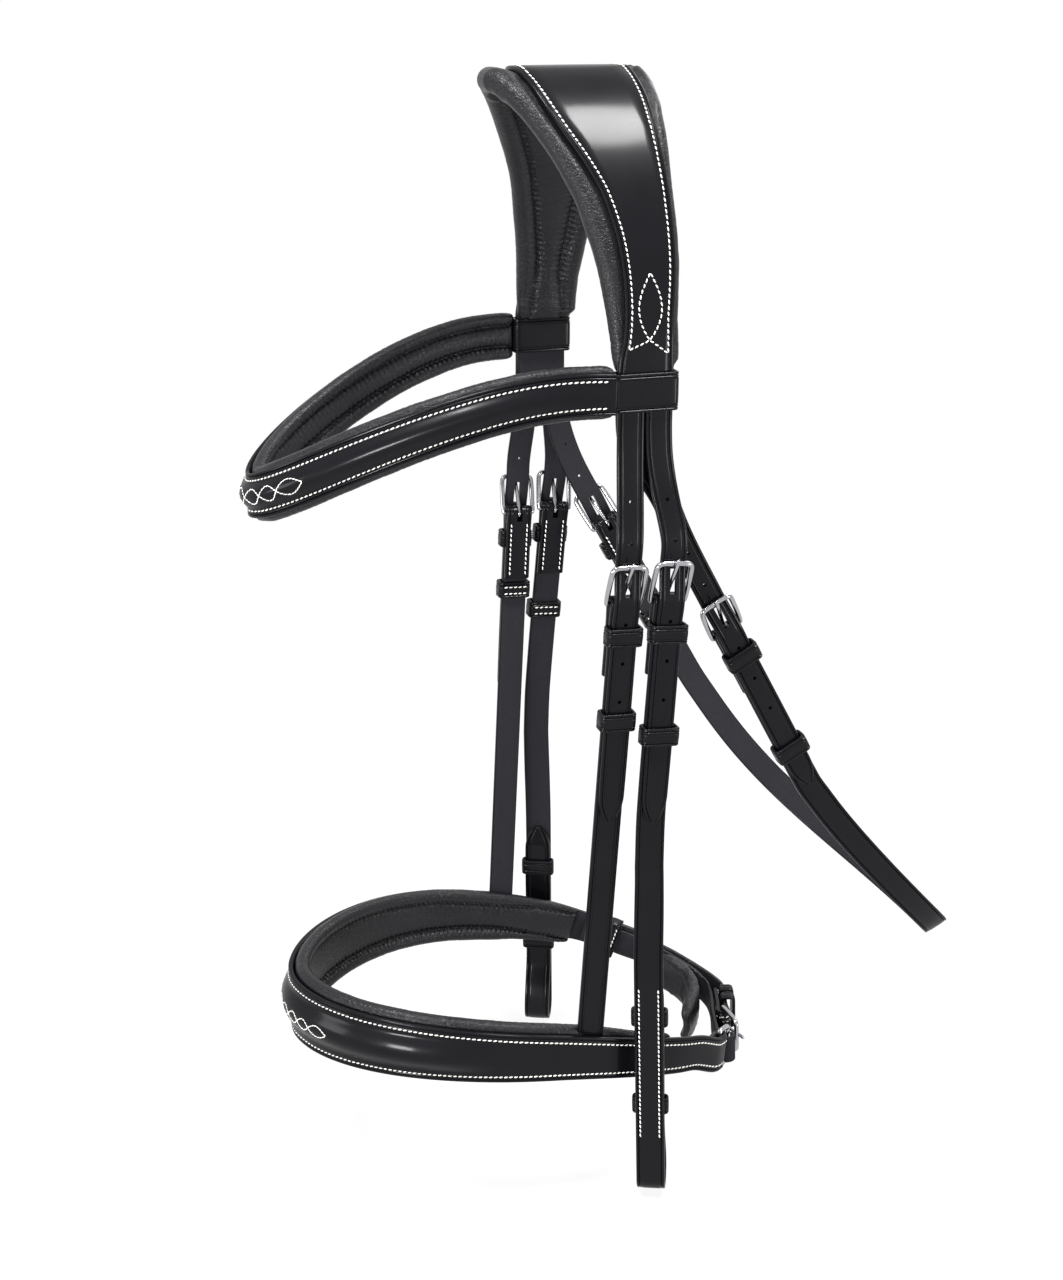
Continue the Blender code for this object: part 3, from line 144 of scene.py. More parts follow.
# Sewing, each braid with its node, count of waves, pitch, height and its edge rows' distance from the ends
BRAIDS = (("browband_leather", 5, 0.0105, 0.0036, 0.003), ("noseband_leather", 5, 0.0086, 0.0031, 0.008))
BAND_INSET = 0.0034
CROWN_INSET = 0.0030
CROWN_ROW_END = 0.0265
LEAF_ROOT = 0.0315
LEAF_LENGTH = 0.029
LEAF_WIDTH = 0.0054
LEAF_REACH = 1.4
LEAF_STEPS = 10
LEAF_BELLY = 0.9
WAVE_STEPS = 8
CORD_PITCH = 0.0018
CORD_OVERLAP = 1.12
CORD_WIDTH = 0.72
BIT_STITCHED = (-0.5040, -0.4187)
CHAPE_START = 0.002
CHAPE_STITCHED = 0.031
FACING = 0.5
ROW_STEP = 0.008
STITCH_SLANT = 0.16
STITCH_HEIGHT_SHARE = 0.8
STITCH_LIFT_SHARE = 0.12
STITCH_BATCH = 40
LOOP_ROW_SHARE = 0.9
LOOP_ROW_PLACE = 0.2

# Reading the solids
MERGE = 2e-6
LEAST_LENGTH = 1e-6
SHARP_EDGES = (42, 50, 58)
OUTLINE_CORNERS = (8, 24)
ROUND_FACE_ANGLE = math.radians(50)
ROUND_SHAPE_ANGLE = math.radians(80)
PLANE_ROOM = 0.0004
MARK_ROOM = 0.0004
BAND_REACH = 1.2
BEND_STEP = math.radians(11)
NEAREST_CUTS = 400
SPAN_CUTS = 500
LEG_ROOM = 0.001
HOLE_ROOM = 0.003
ROUND_RIM = 16
HOLE_WIDTH = 0.0035
HOLE_SHARE = 0.85
HOLE_BACK_SHARE = 0.45
CUT_PAST = 0.0006
KEPT_SHARE = 0.7

# A strap's cross-section
FACE_SHARES = (0, 0.15, 0.28, 0.36, 0.42, 0.48, 0.54, 0.60, 0.64)
RAISE_FOOT = 0.62
RAISE_POWER = 1.35
RAISE_LEVEL = 1.4
RAISE_ROOM = 0.66
FACE_DOME = 0.10
NARROW = 0.0040
TURN_ANGLES = [math.radians(angle) for angle in (78, 45, 12)]
TURN_THICK_SHARE = 0.85
TURN_WIDE_SHARE = 0.4
CREASE_APART = 1.75
CREASE_LEVELS = (0.6, 1.0)
BACK_SHARE = 0.4
SECTION_COUNT = 44
FLESH_START = 19.9 / SECTION_COUNT
FLESH_END = 24.1 / SECTION_COUNT

# A strap's rounded ends, in shares of their rounding, and how far leather runs on under its neighbour
END_ROUND_SHARE = 0.8
END_STEPS = ((0.0, 1.0), (0.3, 0.4), (1.0, 0.0))
END_CLEAR_SHARE = 1.2
END_NARROW_SHARE = 0.5
END_THIN_SHARE = 0.8
CROWN_TUCK = 0.004
LEG_TUCK = 0.006
BAND_TUCK = 0.0012

# Loops and steel
LOOP_CORNER = 0.0016
LOOP_TURN_STEPS = 6
LOOP_STEP = 0.0016
LOOP_ROOM = {"far_throat_runner": 0.00015}
LOOP_SQUARE = MERGE * 10
STEEL_SWELL = 0.00024
STEEL_LEVELS = 2
CUSHION_LEVELS = 3

# Angles in degrees past which an edge is shaded sharp, on leather, on thread and on rounded pieces
LEATHER_SHARP = 38
THREAD_SHARP = 80
ALL_SMOOTH = 180

# The studio
LAMPS = (("key", (0.38, 0.50, 1.32), 0.38, 30), ("brow", (0.25, -0.70, 1.15), 0.30, 28),
         ("front", (0.1, -1.45, -0.15), 0.45, 5), ("side", (1.05, -1.10, -0.12), 0.32, 18),
         ("rear", (1.05, 0.85, -0.25), 0.40, 6), ("back", (-0.8, 1.0, 0.6), 0.45, 6))
LAMP_AIM = Vector((0, 0.05, -0.28))
WORLD_LEVEL = 0.35
RAY_SEEN = 0.5
FLOOR_REACH = 6
FLOOR_DROP = 0.003
FLOOR_WHITE = 0.80
FLOOR_FADE = 0.75


# Settings that a user would change
class BridleSizes(PropertyGroup):
    """Sizes of the sewing, the tooling and the straps' faces."""
    stitch_length: FloatProperty(name="Stitch length", description="Length of one stitch on the leather",
                                 default=0.0020, unit="LENGTH")
    stitch_pitch: FloatProperty(name="Stitch pitch", description="From one stitch to the next",
                                default=0.00255, unit="LENGTH")
    stitch_width: FloatProperty(name="Thread width", description="Width of the sewing thread",
                                default=0.00080, unit="LENGTH")
    stitch_inset: FloatProperty(name="Stitch inset", description="From a strap's edge to its stitch row",
                                default=0.0024, unit="LENGTH")
    crease_inset: FloatProperty(name="Crease inset", description="From a strap's edge to its creased line",
                                default=0.0015, unit="LENGTH")
    crease_width: FloatProperty(name="Crease width", description="Half the width of a creased line",
                                default=0.00040, unit="LENGTH")
    crease_depth: FloatProperty(name="Crease depth", description="Depth of a creased line",
                                default=0.00042, unit="LENGTH")
    edge_round: FloatProperty(name="Edge rounding", description="Radius of the burnished edges",
                              default=0.0007, unit="LENGTH")
    strap_step: FloatProperty(name="Strap step", description="Length of one face along a strap",
                              default=0.0024, unit="LENGTH")


class BridleColours(PropertyGroup):
    """Colours of the leathers, thread, steel and stage."""
    leather: FloatVectorProperty(name="Bridle leather", description="Colour of the grain side", size=3,
                                 subtype="COLOR", default=(0.0034, 0.0034, 0.0046))
    flesh: FloatVectorProperty(name="Flesh side", description="Colour of the leather's suede back", size=3,
                               subtype="COLOR", default=(0.016, 0.016, 0.019))
    padding: FloatVectorProperty(name="Padding leather", description="Colour of the soft padding", size=3,
                                 subtype="COLOR", default=(0.0055, 0.0055, 0.0070))
    thread: FloatVectorProperty(name="Thread", description="Colour of the sewing thread", size=3,
                                subtype="COLOR", default=(0.78, 0.77, 0.73))
    steel: FloatVectorProperty(name="Steel", description="Colour of the polished steel", size=3,
                               subtype="COLOR", default=(0.40, 0.40, 0.42))
    floor: FloatVectorProperty(name="Floor", description="Colour of the pale floor", size=3,
                               subtype="COLOR", default=(0.88, 0.88, 0.88))


# Shader maths
class Value:
    """A socket of a material's node, or a number, that adds maths nodes as it is used in a sum."""

    def __init__(self, tree, socket):
        self.tree = tree
        self.socket = socket

    def maths(self, operation, *others):
        node = self.tree.nodes.new("ShaderNodeMath")
        node.operation = operation
        for port, value in zip(node.inputs, (self, *others)):
            plug(self.tree, port, value)
        return Value(self.tree, node.outputs[0])

    def __add__(self, other):
        return self.maths("ADD", other)

    def __sub__(self, other):
        return self.maths("SUBTRACT", other)

    def __rsub__(self, other):
        return Value(self.tree, other).maths("SUBTRACT", self)

    def __mul__(self, other):
        return self.maths("MULTIPLY", other)

    def __gt__(self, other):
        return self.maths("GREATER_THAN", other)

    def __lt__(self, other):
        return self.maths("LESS_THAN", other)

    __radd__ = __add__
    __rmul__ = __mul__


def plug(tree, port, value):
    """Link a value's socket to a port, or set the port's own number or colour."""
    if isinstance(value, Value):
        value = value.socket
    if isinstance(value, bpy.types.NodeSocket):
        tree.links.new(value, port)
    else:
        port.default_value = value


class Finish:
    """A material or a world under construction."""

    def __init__(self, held):
        self.held = held
        held.use_nodes = True
        self.tree = held.node_tree
        self.shader = self.tree.nodes.get("Principled BSDF")

    def add(self, kind, settings, output=0, **sockets):
        """Add a node of a kind with its settings, and set or link its sockets by name."""
        node = self.tree.nodes.new(kind)
        for name, value in settings.items():
            if name == "stops":
                for stop, (place, grey) in zip(node.color_ramp.elements, value):
                    stop.position = place
                    stop.color = (grey, grey, grey, 1)
            else:
                setattr(node, name, value)
        for name, value in sockets.items():
            plug(self.tree, node.inputs[name.replace("_", " ")], value)
        return Value(self.tree, node.outputs[output])

    def place(self):
        """The place on the object, in metres."""
        return self.add("ShaderNodeTexCoord", {}, "Object")

    def across(self):
        """The place across a strap's own map, from 0 to 1 round its section."""
        return self.add("ShaderNodeSeparateXYZ", {}, "X", Vector=self.add("ShaderNodeTexCoord", {}, "UV"))

    def noise(self, scale, detail=3.0, roughness=0.5):
        """Soft clouds, from 0 to 1."""
        return self.add("ShaderNodeTexNoise", {}, "Fac", Vector=self.place(), Scale=scale, Detail=detail,
                        Roughness=roughness)

    def cells(self, scale, feature="F1"):
        """Pebbles, as distances in a cell pattern."""
        return self.add("ShaderNodeTexVoronoi", {"feature": feature}, "Distance", Vector=self.place(),
                        Scale=scale)

    def ramp(self, value, *stops):
        """Greys between stops of place and level."""
        return self.add("ShaderNodeValToRGB", {"stops": stops}, "Color", Fac=value)

    def mix(self, factor, first, second):
        """A colour between two others."""
        node = self.tree.nodes.new("ShaderNodeMix")
        node.data_type = "RGBA"
        for name, value in (("Factor_Float", factor), ("A_Color", first), ("B_Color", second)):
            plug(self.tree, next(port for port in node.inputs if port.identifier == name), value)
        return Value(self.tree, next(port for port in node.outputs if port.identifier == "Result_Color"))

    def bump(self, height, distance, strength):
        """Surface relief from a height."""
        return self.add("ShaderNodeBump", {}, "Normal", Height=height, Distance=distance, Strength=strength)

    def shade(self, **sockets):
        """Set the shader's sockets by name, and give the finished material."""
        for name, value in sockets.items():
            plug(self.tree, self.shader.inputs[name.replace("_", " ")], value)
        return self.held


def tint(colour, level=1.0):
    """A setting's colour made darker or lighter."""
    return (*(channel * level for channel in colour), 1.0)


def grain(made):
    """Fine grain of smooth bridle leather, as a height."""
    return made.cells(1700.0) * 0.55 + made.noise(2400.0, 2.0) * 0.45


def bridle_leather():
    """Glossy bridle leather with a fine grain, and suede on its flesh side."""
    colours = bpy.context.scene.bridle_colours
    made = Finish(bpy.data.materials.new("bridle_leather"))
    across = made.across()
    flesh = (across > FLESH_START) * (across < FLESH_END)
    clouds = made.noise(38.0, 4.0)
    fibres = made.noise(1500.0, 4.0, 0.7)
    tone = made.mix(clouds, tint(colours.leather, 0.75), tint(colours.leather, 1.4))
    suede = made.mix(fibres, tint(colours.flesh, 0.55), tint(colours.flesh, 1.5))
    height = grain(made) * (1 - flesh) + fibres * flesh * 2.0
    return made.shade(Base_Color=made.mix(flesh, tone, suede), Roughness=0.22 + clouds * 0.16 + flesh * 0.5,
                      Coat_Weight=(1 - flesh) * 0.17, Coat_Roughness=0.14, Specular_IOR_Level=0.05,
                      Normal=made.bump(height, 0.00006, 0.55))


def keeper_leather():
    """The same leather on loops and keepers, whose flesh side is out of sight."""
    colours = bpy.context.scene.bridle_colours
    made = Finish(bpy.data.materials.new("keeper_leather"))
    clouds = made.noise(55.0, 4.0)
    tone = made.mix(clouds, tint(colours.leather, 0.75), tint(colours.leather, 1.4))
    return made.shade(Base_Color=tone, Roughness=0.24 + clouds * 0.16, Coat_Weight=0.17, Coat_Roughness=0.14,
                      Specular_IOR_Level=0.05, Normal=made.bump(grain(made), 0.00006, 0.5))


def padding_leather():
    """Soft satin padding with a pebbled grain."""
    colours = bpy.context.scene.bridle_colours
    made = Finish(bpy.data.materials.new("padding_leather"))
    clouds = made.noise(60.0, 3.0)
    wrinkles = made.cells(620.0, "DISTANCE_TO_EDGE")
    height = (made.cells(900.0, "SMOOTH_F1") * -0.7 + made.noise(3000.0, 2.0) * 0.25
              + made.ramp(wrinkles, (0.0, 0.0), (0.12, 1.0)) * 0.4)
    tone = made.mix(clouds, tint(colours.padding, 0.7), tint(colours.padding, 1.5))
    return made.shade(Base_Color=tone, Roughness=0.27 + clouds * 0.18, Specular_IOR_Level=0.24,
                      Normal=made.bump(height, 0.00022, 0.8))


def waxed_thread():
    """Pale waxed thread with its twist."""
    colours = bpy.context.scene.bridle_colours
    made = Finish(bpy.data.materials.new("waxed_thread"))
    wear = made.noise(900.0, 3.0)
    twist = made.add("ShaderNodeTexWave", {"bands_direction": "DIAGONAL"}, "Fac", Vector=made.place(),
                     Scale=900.0, Distortion=1.5)
    tone = made.mix(wear, tint(colours.thread, 0.72), tint(colours.thread, 1.08))
    return made.shade(Base_Color=tone, Roughness=0.62, Normal=made.bump(twist, 0.00008, 0.6))


def polished_steel():
    """Polished stainless steel with faint handling marks."""
    colours = bpy.context.scene.bridle_colours
    made = Finish(bpy.data.materials.new("polished_steel"))
    marks = made.noise(260.0, 5.0, 0.65)
    tone = made.mix(marks, tint(colours.steel, 0.86), tint(colours.steel, 1.1))
    return made.shade(Base_Color=tone, Metallic=1.0, Roughness=0.07 + marks * 0.12,
                      Normal=made.bump(marks, 0.00002, 0.25))


FINISHES = {"leather": bridle_leather, "keeper": keeper_leather, "padding": padding_leather,
            "thread": waxed_thread, "steel": polished_steel}
MATERIALS = {}


def finish_of(kind):
    """The material of a kind, made once."""
    if kind not in MATERIALS:
        MATERIALS[kind] = FINISHES[kind]()
    return MATERIALS[kind]


# Meshes
def piece(name, bm, kind, body, stands_for=(), sharp=LEATHER_SHARP):
    """Turn a bmesh into a finished piece that rides on a body and stands for CAD nodes."""
    mesh = bpy.data.meshes.new(name)
    bm.to_mesh(mesh)
    bm.free()
    mesh.shade_smooth()
    mesh.set_sharp_from_angle(angle=math.radians(sharp))
    mesh.materials.append(finish_of(kind))
    made = bpy.data.objects.new(name, mesh)
    bpy.context.scene.collection.objects.link(made)
    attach(made, body)
    if stands_for:
        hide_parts(*stands_for)
    return made


def spots_of(verts):
    """Vertices' places as an array."""
    return np.array([tuple(vert.co) for vert in verts])


def applied(made):
    """The mesh that a piece's modifiers make, with the modifiers taken off."""
    bpy.context.view_layer.update()
    mesh = bpy.data.meshes.new_from_object(made.evaluated_get(bpy.context.evaluated_depsgraph_get()))
    made.modifiers.clear()
    return mesh


def take(made, mesh):
    """Give a piece a new mesh in place of its old one."""
    old = made.data
    made.data = mesh
    bpy.data.meshes.remove(old)
    mesh.name = made.name
    mesh.shade_smooth()


def merged(node):
    """A joined-up copy of a CAD node's mesh."""
    bm = bmesh.new()
    bm.from_mesh(frame["nodes"][node].data)
    bmesh.ops.remove_doubles(bm, verts=bm.verts, dist=MERGE)
    return bm


def wrap(bm, rings, closed=False):
    """Add a closed skin through alike rings of points, from a flat grid whose seam and ends are joined."""
    rings = np.asarray(rings)
    count, around = rings.shape[:2]
    rows = count if closed else count - 1
    made = bmesh.ops.create_grid(bm, x_segments=around, y_segments=rows, size=1, calc_uvs=True)["verts"]
    for vert in made:
        i = round((vert.co.x + 1) / 2 * around) % around
        j = round((vert.co.y + 1) / 2 * rows) % count
        vert.co = rings[j, i]
    bmesh.ops.remove_doubles(bm, verts=made, dist=MERGE)
    rim = [edge for edge in bm.edges if edge.is_boundary]
    if rim:
        bmesh.ops.holes_fill(bm, edges=rim, sides=0)
    bmesh.ops.recalc_face_normals(bm, faces=bm.faces)
    return bm


def fresh():
    """An empty bmesh with a map for the grain and flesh sides."""
    bm = bmesh.new()
    bm.loops.layers.uv.new("UVMap")
    return bm


# Straps, read from the CAD solids
def sharp_links(bm, angle):
    """For each vertex on a sharp edge, the vertices at those edges' other ends."""
    links = {}
    for edge in bm.edges:
        if edge.calc_face_angle(0) > angle:
            for vert in edge.verts:
                links.setdefault(vert, []).append(edge.other_vert(vert))
    return links


def groups_of(links):
    """Vertices that sharp edges join, the largest group first."""
    seen, groups = set(), []
    for start in links:
        if start in seen:
            continue
        group, waiting = [], [start]
        seen.add(start)
        while waiting:
            vert = waiting.pop()
            group.append(vert)
            fresh_ones = [other for other in links[vert] if other not in seen]
            seen.update(fresh_ones)
            waiting.extend(fresh_ones)
        groups.append(group)
    return sorted(groups, key=len, reverse=True)


def chain(links, start, step):
    """Follow a sharp edge from a corner until the next corner."""
    row = [start, step]
    while len(links[row[-1]]) == 2:
        row.append(next(v for v in links[row[-1]] if v is not row[-2]))
    return row


def length_of(row):
    """The length of a row of vertices."""
    return sum((a.co - b.co).length for a, b in zip(row, row[1:]))


def rails(node):
    """The solid's sharp outline as rows between its corners, and the rims of its holes."""
    bm = merged(node)
    for angle in SHARP_EDGES:
        links = sharp_links(bm, math.radians(angle))
        groups = groups_of(links)
        corners = [vert for vert in groups[0] if len(links[vert]) > 2]
        if len(corners) in OUTLINE_CORNERS:
            break
    rows = {}
    for corner in corners:
        runs = sorted((chain(links, corner, step) for step in links[corner]), key=length_of)
        cap = {run[-1].index for run in runs[:-1]}
        rows[corner.index] = (cap, spots_of(runs[-1]), runs[-1][-1].index)
    holes = [spots_of(group) for group in groups[1:]]
    bm.free()
    return rows, holes


def end_of(rows, corner):
    """The four corners of the strap's end that a corner is on."""
    cap = {corner} | rows[corner][0]
    for other in rows[corner][0]:
        cap |= rows[other][0]
    return cap


def whole(rows, corner):
    """A long edge from one end of the strap to the other, on past a sharp fold if there is one."""
    _, line, end = rows[corner]
    passed = {corner}
    while rows[end][2] not in passed and end not in passed:
        passed.add(end)
        line = np.vstack((line, rows[end][1][1:]))
        end = rows[end][2]
    return line


def outline(node):
    """Rings of a plain strap's four corners along its length, and the rims of its holes."""
    rows, holes = rails(node)
    lines = {corner: whole(rows, corner) for corner in rows}
    start = max(lines, key=lambda corner: len(lines[corner]))
    return in_order(np.array([lines[corner] for corner in sorted(end_of(rows, start))])), holes


def in_order(lines):
    """Four long edges in order round the strap, from one side of its face to the other."""
    middle = lines[:, len(lines[0]) // 2]
    gaps = np.linalg.norm(middle[0] - middle, axis=1)
    thin, wide, far = 1 + np.argsort(gaps[1:])
    return lines[[0, wide, far, thin]].transpose(1, 0, 2)


def slopes(values, ways):
    """Tangents of a smooth curve through values at known distances."""
    made = np.empty_like(values)
    made[1:-1] = (values[2:] - values[:-2]) / (ways[2:] - ways[:-2])[:, None]
    made[0] = (values[1] - values[0]) / (ways[1] - ways[0])
    made[-1] = (values[-1] - values[-2]) / (ways[-1] - ways[-2])
    return made


class Run:
    """A strap's smooth way: its middle, half width and half thickness at any distance along it."""

    def __init__(self, rings, outward):
        middle = rings.mean(axis=1)
        across = (rings[:, 1] - rings[:, 0] + rings[:, 2] - rings[:, 3]) / 4
        lift = (rings[:, 0] + rings[:, 1] - rings[:, 2] - rings[:, 3]) / 4
        steps = np.linalg.norm(np.diff(middle, axis=0), axis=1)
        self.ways = np.concatenate(([0], np.cumsum(steps)))
        self.length = self.ways[-1]
        spans = np.gradient(self.ways)
        facing = np.einsum("ij,ij->i", lift, outward(middle)) / np.linalg.norm(lift, axis=1)
        if (facing * spans).sum() < 0:
            across, lift = -across, -lift
        self.values = np.hstack((middle, across, lift))
        self.slopes = slopes(self.values, self.ways)
        self.raises = np.zeros(len(self.ways))

    def raised(self, way):
        """How far a band's middle stands up at a distance along it."""
        return float(np.interp(way, self.ways, self.raises))

    def at(self, way):
        """Middle, direction across, direction out, direction along, half width and half thickness."""
        inside = min(max(way, 0), self.length)
        k = int(np.clip(np.searchsorted(self.ways, inside) - 1, 0, len(self.ways) - 2))
        span = self.ways[k + 1] - self.ways[k]
        u = (inside - self.ways[k]) / span
        low, high = self.values[k], self.values[k + 1]
        tangents = self.slopes[k] * span, self.slopes[k + 1] * span
        value = (low * (2 * u ** 3 - 3 * u ** 2 + 1) + tangents[0] * (u ** 3 - 2 * u ** 2 + u)
                 + high * (3 * u ** 2 - 2 * u ** 3) + tangents[1] * (u ** 3 - u ** 2))
        slope = ((low - high) * (6 * u ** 2 - 6 * u) + tangents[0] * (3 * u ** 2 - 4 * u + 1)
                 + tangents[1] * (3 * u ** 2 - 2 * u)) / span
        along = slope[:3] / np.linalg.norm(slope[:3])
        middle = value[:3] + along * (way - inside)
        half, thick = np.linalg.norm(value[3:6]), np.linalg.norm(value[6:])
        across = value[3:6] - along * value[3:6].dot(along)
        across /= np.linalg.norm(across)
        out = np.cross(across, along)
        if out.dot(value[6:]) < 0:
            out = -out
        return middle, across, out, along, half, thick

    def stops(self, start, end):
        """Distances from start to end, closer together where the strap bends."""
        sizes = bpy.context.scene.bridle_sizes
        made = [start]
        marks = [way for way in self.ways if start + MARK_ROOM < way < end - MARK_ROOM]
        for low, high in zip([start, *marks], [*marks, end]):
            bend = np.clip(self.at(low)[3].dot(self.at(high)[3]), -1, 1)
            parts = max(1, math.ceil((high - low) / sizes.strap_step),
                        math.ceil(math.acos(bend) / BEND_STEP))
            made += [low + (high - low) * k / parts for k in range(1, parts + 1)]
        return made

    def surface(self, way, aside):
        """A point on the strap's face, and the direction out from it."""
        middle, across, out, _, half, thick = self.at(way)
        return middle + across * aside + out * top_of(aside, half, thick, self.raised(way)), out

    def nearest(self, point):
        """The distance along the strap that is nearest to a point."""
        ways = np.linspace(0, self.length, NEAREST_CUTS)
        gaps = [np.linalg.norm(self.at(way)[0] - np.asarray(point)) for way in ways]
        return float(ways[int(np.argmin(gaps))])


def away(point):
    """Directions away from a point."""
    return lambda middles: (middles - point) / np.linalg.norm(middles - point, axis=1)[:, None]


def sideways(side):
    """The direction out from the horse's head on one side."""
    return lambda middles: np.tile((float(side), 0.0, 0.0), (len(middles), 1))


def crown_bump(share):
    """Height of a band's padded middle, from 0 at its foot to 1, at a share of the half width."""
    return max(0.0, 1 - (share / RAISE_FOOT) ** 2) ** RAISE_POWER


def top_of(aside, half, thick, raised):
    """Height of a strap's face over its middle layer."""
    return thick * (1 - FACE_DOME * (aside / half) ** 2) + raised * crown_bump(aside / half)


def section(half, thick, raised=0.0):
    """A strap's cross-section round its edge, creased along both edges of its face."""
    sizes = bpy.context.scene.bridle_sizes
    small = min(1.0, half / NARROW)
    turn = min(sizes.edge_round, thick * TURN_THICK_SHARE, half * TURN_WIDE_SHARE)
    width = sizes.crease_width * small
    depth = sizes.crease_depth * small
    outer = sizes.crease_inset * small
    insets = (outer * CREASE_APART, outer)
    inner = half - insets[0] - width * 2
    reach = min(1.0, inner / half / RAISE_ROOM)
    right = [(half * share * reach, 0.0) for share in FACE_SHARES]
    for inset, level in zip(insets, CREASE_LEVELS):
        right += [(half - inset - width, 0.0), (half - inset, depth * level), (half - inset + width, 0.0)]
    right = [(x, top_of(x, half, thick, raised) - drop) for x, drop in right]
    edge, shoulder = half - turn, thick * (1 - FACE_DOME) - turn
    right += [(edge + turn * math.cos(a), shoulder + turn * math.sin(a)) for a in TURN_ANGLES]
    right += [(edge + turn * math.cos(a), -thick + turn - turn * math.sin(a)) for a in reversed(TURN_ANGLES)]
    right += [(half * BACK_SHARE, -thick)]
    left = [(-x, z) for x, z in reversed(right[1:])]
    return np.array(right + [(0.0, -thick)] + left)


def sweep(bm, run, start, end):
    """Add a strap's leather along its run, with its two ends rounded off."""
    ease = bpy.context.scene.bridle_sizes.edge_round * END_ROUND_SHARE
    clear = ease * END_CLEAR_SHARE
    places = [(start + ease * step, taper) for step, taper in END_STEPS]
    places += [(way, 0.0) for way in run.stops(start, end) if start + clear < way < end - clear]
    places += [(end - ease * step, taper) for step, taper in reversed(END_STEPS)]
    rings = []
    for way, taper in places:
        middle, across, out, _, half, thick = run.at(way)
        less = (min(ease / half, END_NARROW_SHARE), min(ease / thick, END_THIN_SHARE) * END_THIN_SHARE)
        flat = section(half, thick, run.raised(way)) * (1 - taper * np.array(less))
        rings.append(middle + flat[:, :1] * across + flat[:, 1:] * out)
    wrap(bm, rings)


def cutter_for(run, rim):
    """A cutter that a hole's rim spans, drawn out past the leather. Round holes narrow toward the back."""
    centre = rim.mean(axis=0)
    _, across, out, along, _, _ = run.at(run.nearest(centre))
    bm = bmesh.new()
    round_hole = len(rim) <= ROUND_RIM and np.ptp(rim @ across) < HOLE_WIDTH > np.ptp(rim @ along)
    for point in rim:
        off = point - centre
        if round_hole:
            share = HOLE_SHARE if off.dot(out) > 0 else HOLE_BACK_SHARE
            off = off - (off - out * off.dot(out)) * (1 - share)
            point = centre + off
            off = out * off.dot(out)
        else:
            off = off - across * off.dot(across)
        bmesh.ops.create_vert(bm, co=point + off / max(np.linalg.norm(off), LEAST_LENGTH) * CUT_PAST)
    bmesh.ops.convex_hull(bm, input=bm.verts)
    bmesh.ops.delete(bm, geom=[vert for vert in bm.verts if not vert.link_faces], context="VERTS")
    bmesh.ops.recalc_face_normals(bm, faces=bm.faces)
    return bm


def pierced(made, cutters):
    """Cut holes through a piece, and leave it whole if the cut loses its leather."""
    if not cutters:
        return
    joined = bpy.data.meshes.new("cutters")
    whole_tool = bmesh.new()
    for bm in cutters:
        bm.to_mesh(joined)
        bm.free()
        whole_tool.from_mesh(joined)
    whole_tool.to_mesh(joined)
    whole_tool.free()
    tool = bpy.data.objects.new("cutter", joined)
    bpy.context.scene.collection.objects.link(tool)
    cut = made.modifiers.new("Holes", "BOOLEAN")
    cut.object, cut.operation, cut.solver = tool, "DIFFERENCE", "EXACT"
    holed = applied(made)
    bpy.data.objects.remove(tool)
    bpy.data.meshes.remove(joined)
    if len(holed.polygons) < len(made.data.polygons) * KEPT_SHARE:
        print("holes left out of", made.name)
        bpy.data.meshes.remove(holed)
        return
    take(made, holed)
    holed.set_sharp_from_angle(angle=math.radians(LEATHER_SHARP))


# Sewing
def stitch(sewn, start, end, out, width):
    """One stitch between two points on a surface, slightly slanted and bedded into the leather."""
    long = end - start
    wide = np.cross(out, long / np.linalg.norm(long))
    long = long + wide * np.linalg.norm(long) * STITCH_SLANT
    tall, middle = out * width * STITCH_HEIGHT_SHARE, (start + end) / 2 + out * width * STITCH_LIFT_SHARE
    sewn.append(Matrix([(*(wide * width), 0), (*tall, 0), (*long, 0), (*middle, 1)]).transposed())


def sew(sewn, run, points, cord=False):
    """Sew along a polyline of (distance along, distance aside) on a strap's face."""
    sizes = bpy.context.scene.bridle_sizes
    points = np.array(points, float)
    ways = np.concatenate(([0], np.cumsum(np.linalg.norm(np.diff(points, axis=0), axis=1))))
    pitch = CORD_PITCH if cord else sizes.stitch_pitch
    long = pitch * CORD_OVERLAP if cord else sizes.stitch_length
    width = sizes.stitch_width * (CORD_WIDTH if cord else 1)
    count = max(1, round(ways[-1] / pitch))
    for k in range(count):
        ends = [(k + 0.5) * ways[-1] / count + side * long / 2 for side in (-1, 1)]
        flat = [[float(np.interp(end, ways, points[:, axis])) for axis in (0, 1)] for end in ends]
        (start, _), (end, out) = (run.surface(*spot) for spot in flat)
        stitch(sewn, start, end, out, width)


def edge_rows(sewn, run, start, end, inset=None):
    """Two rows of stitches along a strap's edges."""
    inset = inset or bpy.context.scene.bridle_sizes.stitch_inset
    places = np.linspace(start, end, max(2, round(abs(end - start) / ROW_STEP)))
    for side in (-1, 1):
        sew(sewn, run, [(way, side * (run.at(way)[4] - inset)) for way in places])


def leaf(sewn, run, root, reach, width, cord=False):
    """A leaf-shaped loop of stitches that starts at a place on the run's middle."""
    shares = [k / LEAF_STEPS for k in range(LEAF_STEPS + 1)]
    for side in (-1, 1):
        sew(sewn, run, [(root + reach * share, side * width * math.sin(math.pi * share ** LEAF_BELLY))
                        for share in shares], cord=cord)


def braid(sewn, run, middle, count, pitch, height):
    """Two crossing waves of cord along the run's middle, with a leaf at either end."""
    steps = [k / WAVE_STEPS for k in range(WAVE_STEPS * count + 1)]
    for side in (-1, 1):
        sew(sewn, run, [(middle + pitch * (step - count / 2), side * height * math.sin(math.pi * step))
                        for step in steps], cord=True)
        leaf(sewn, run, middle + side * pitch * count / 2, side * pitch * LEAF_REACH, height, cord=True)


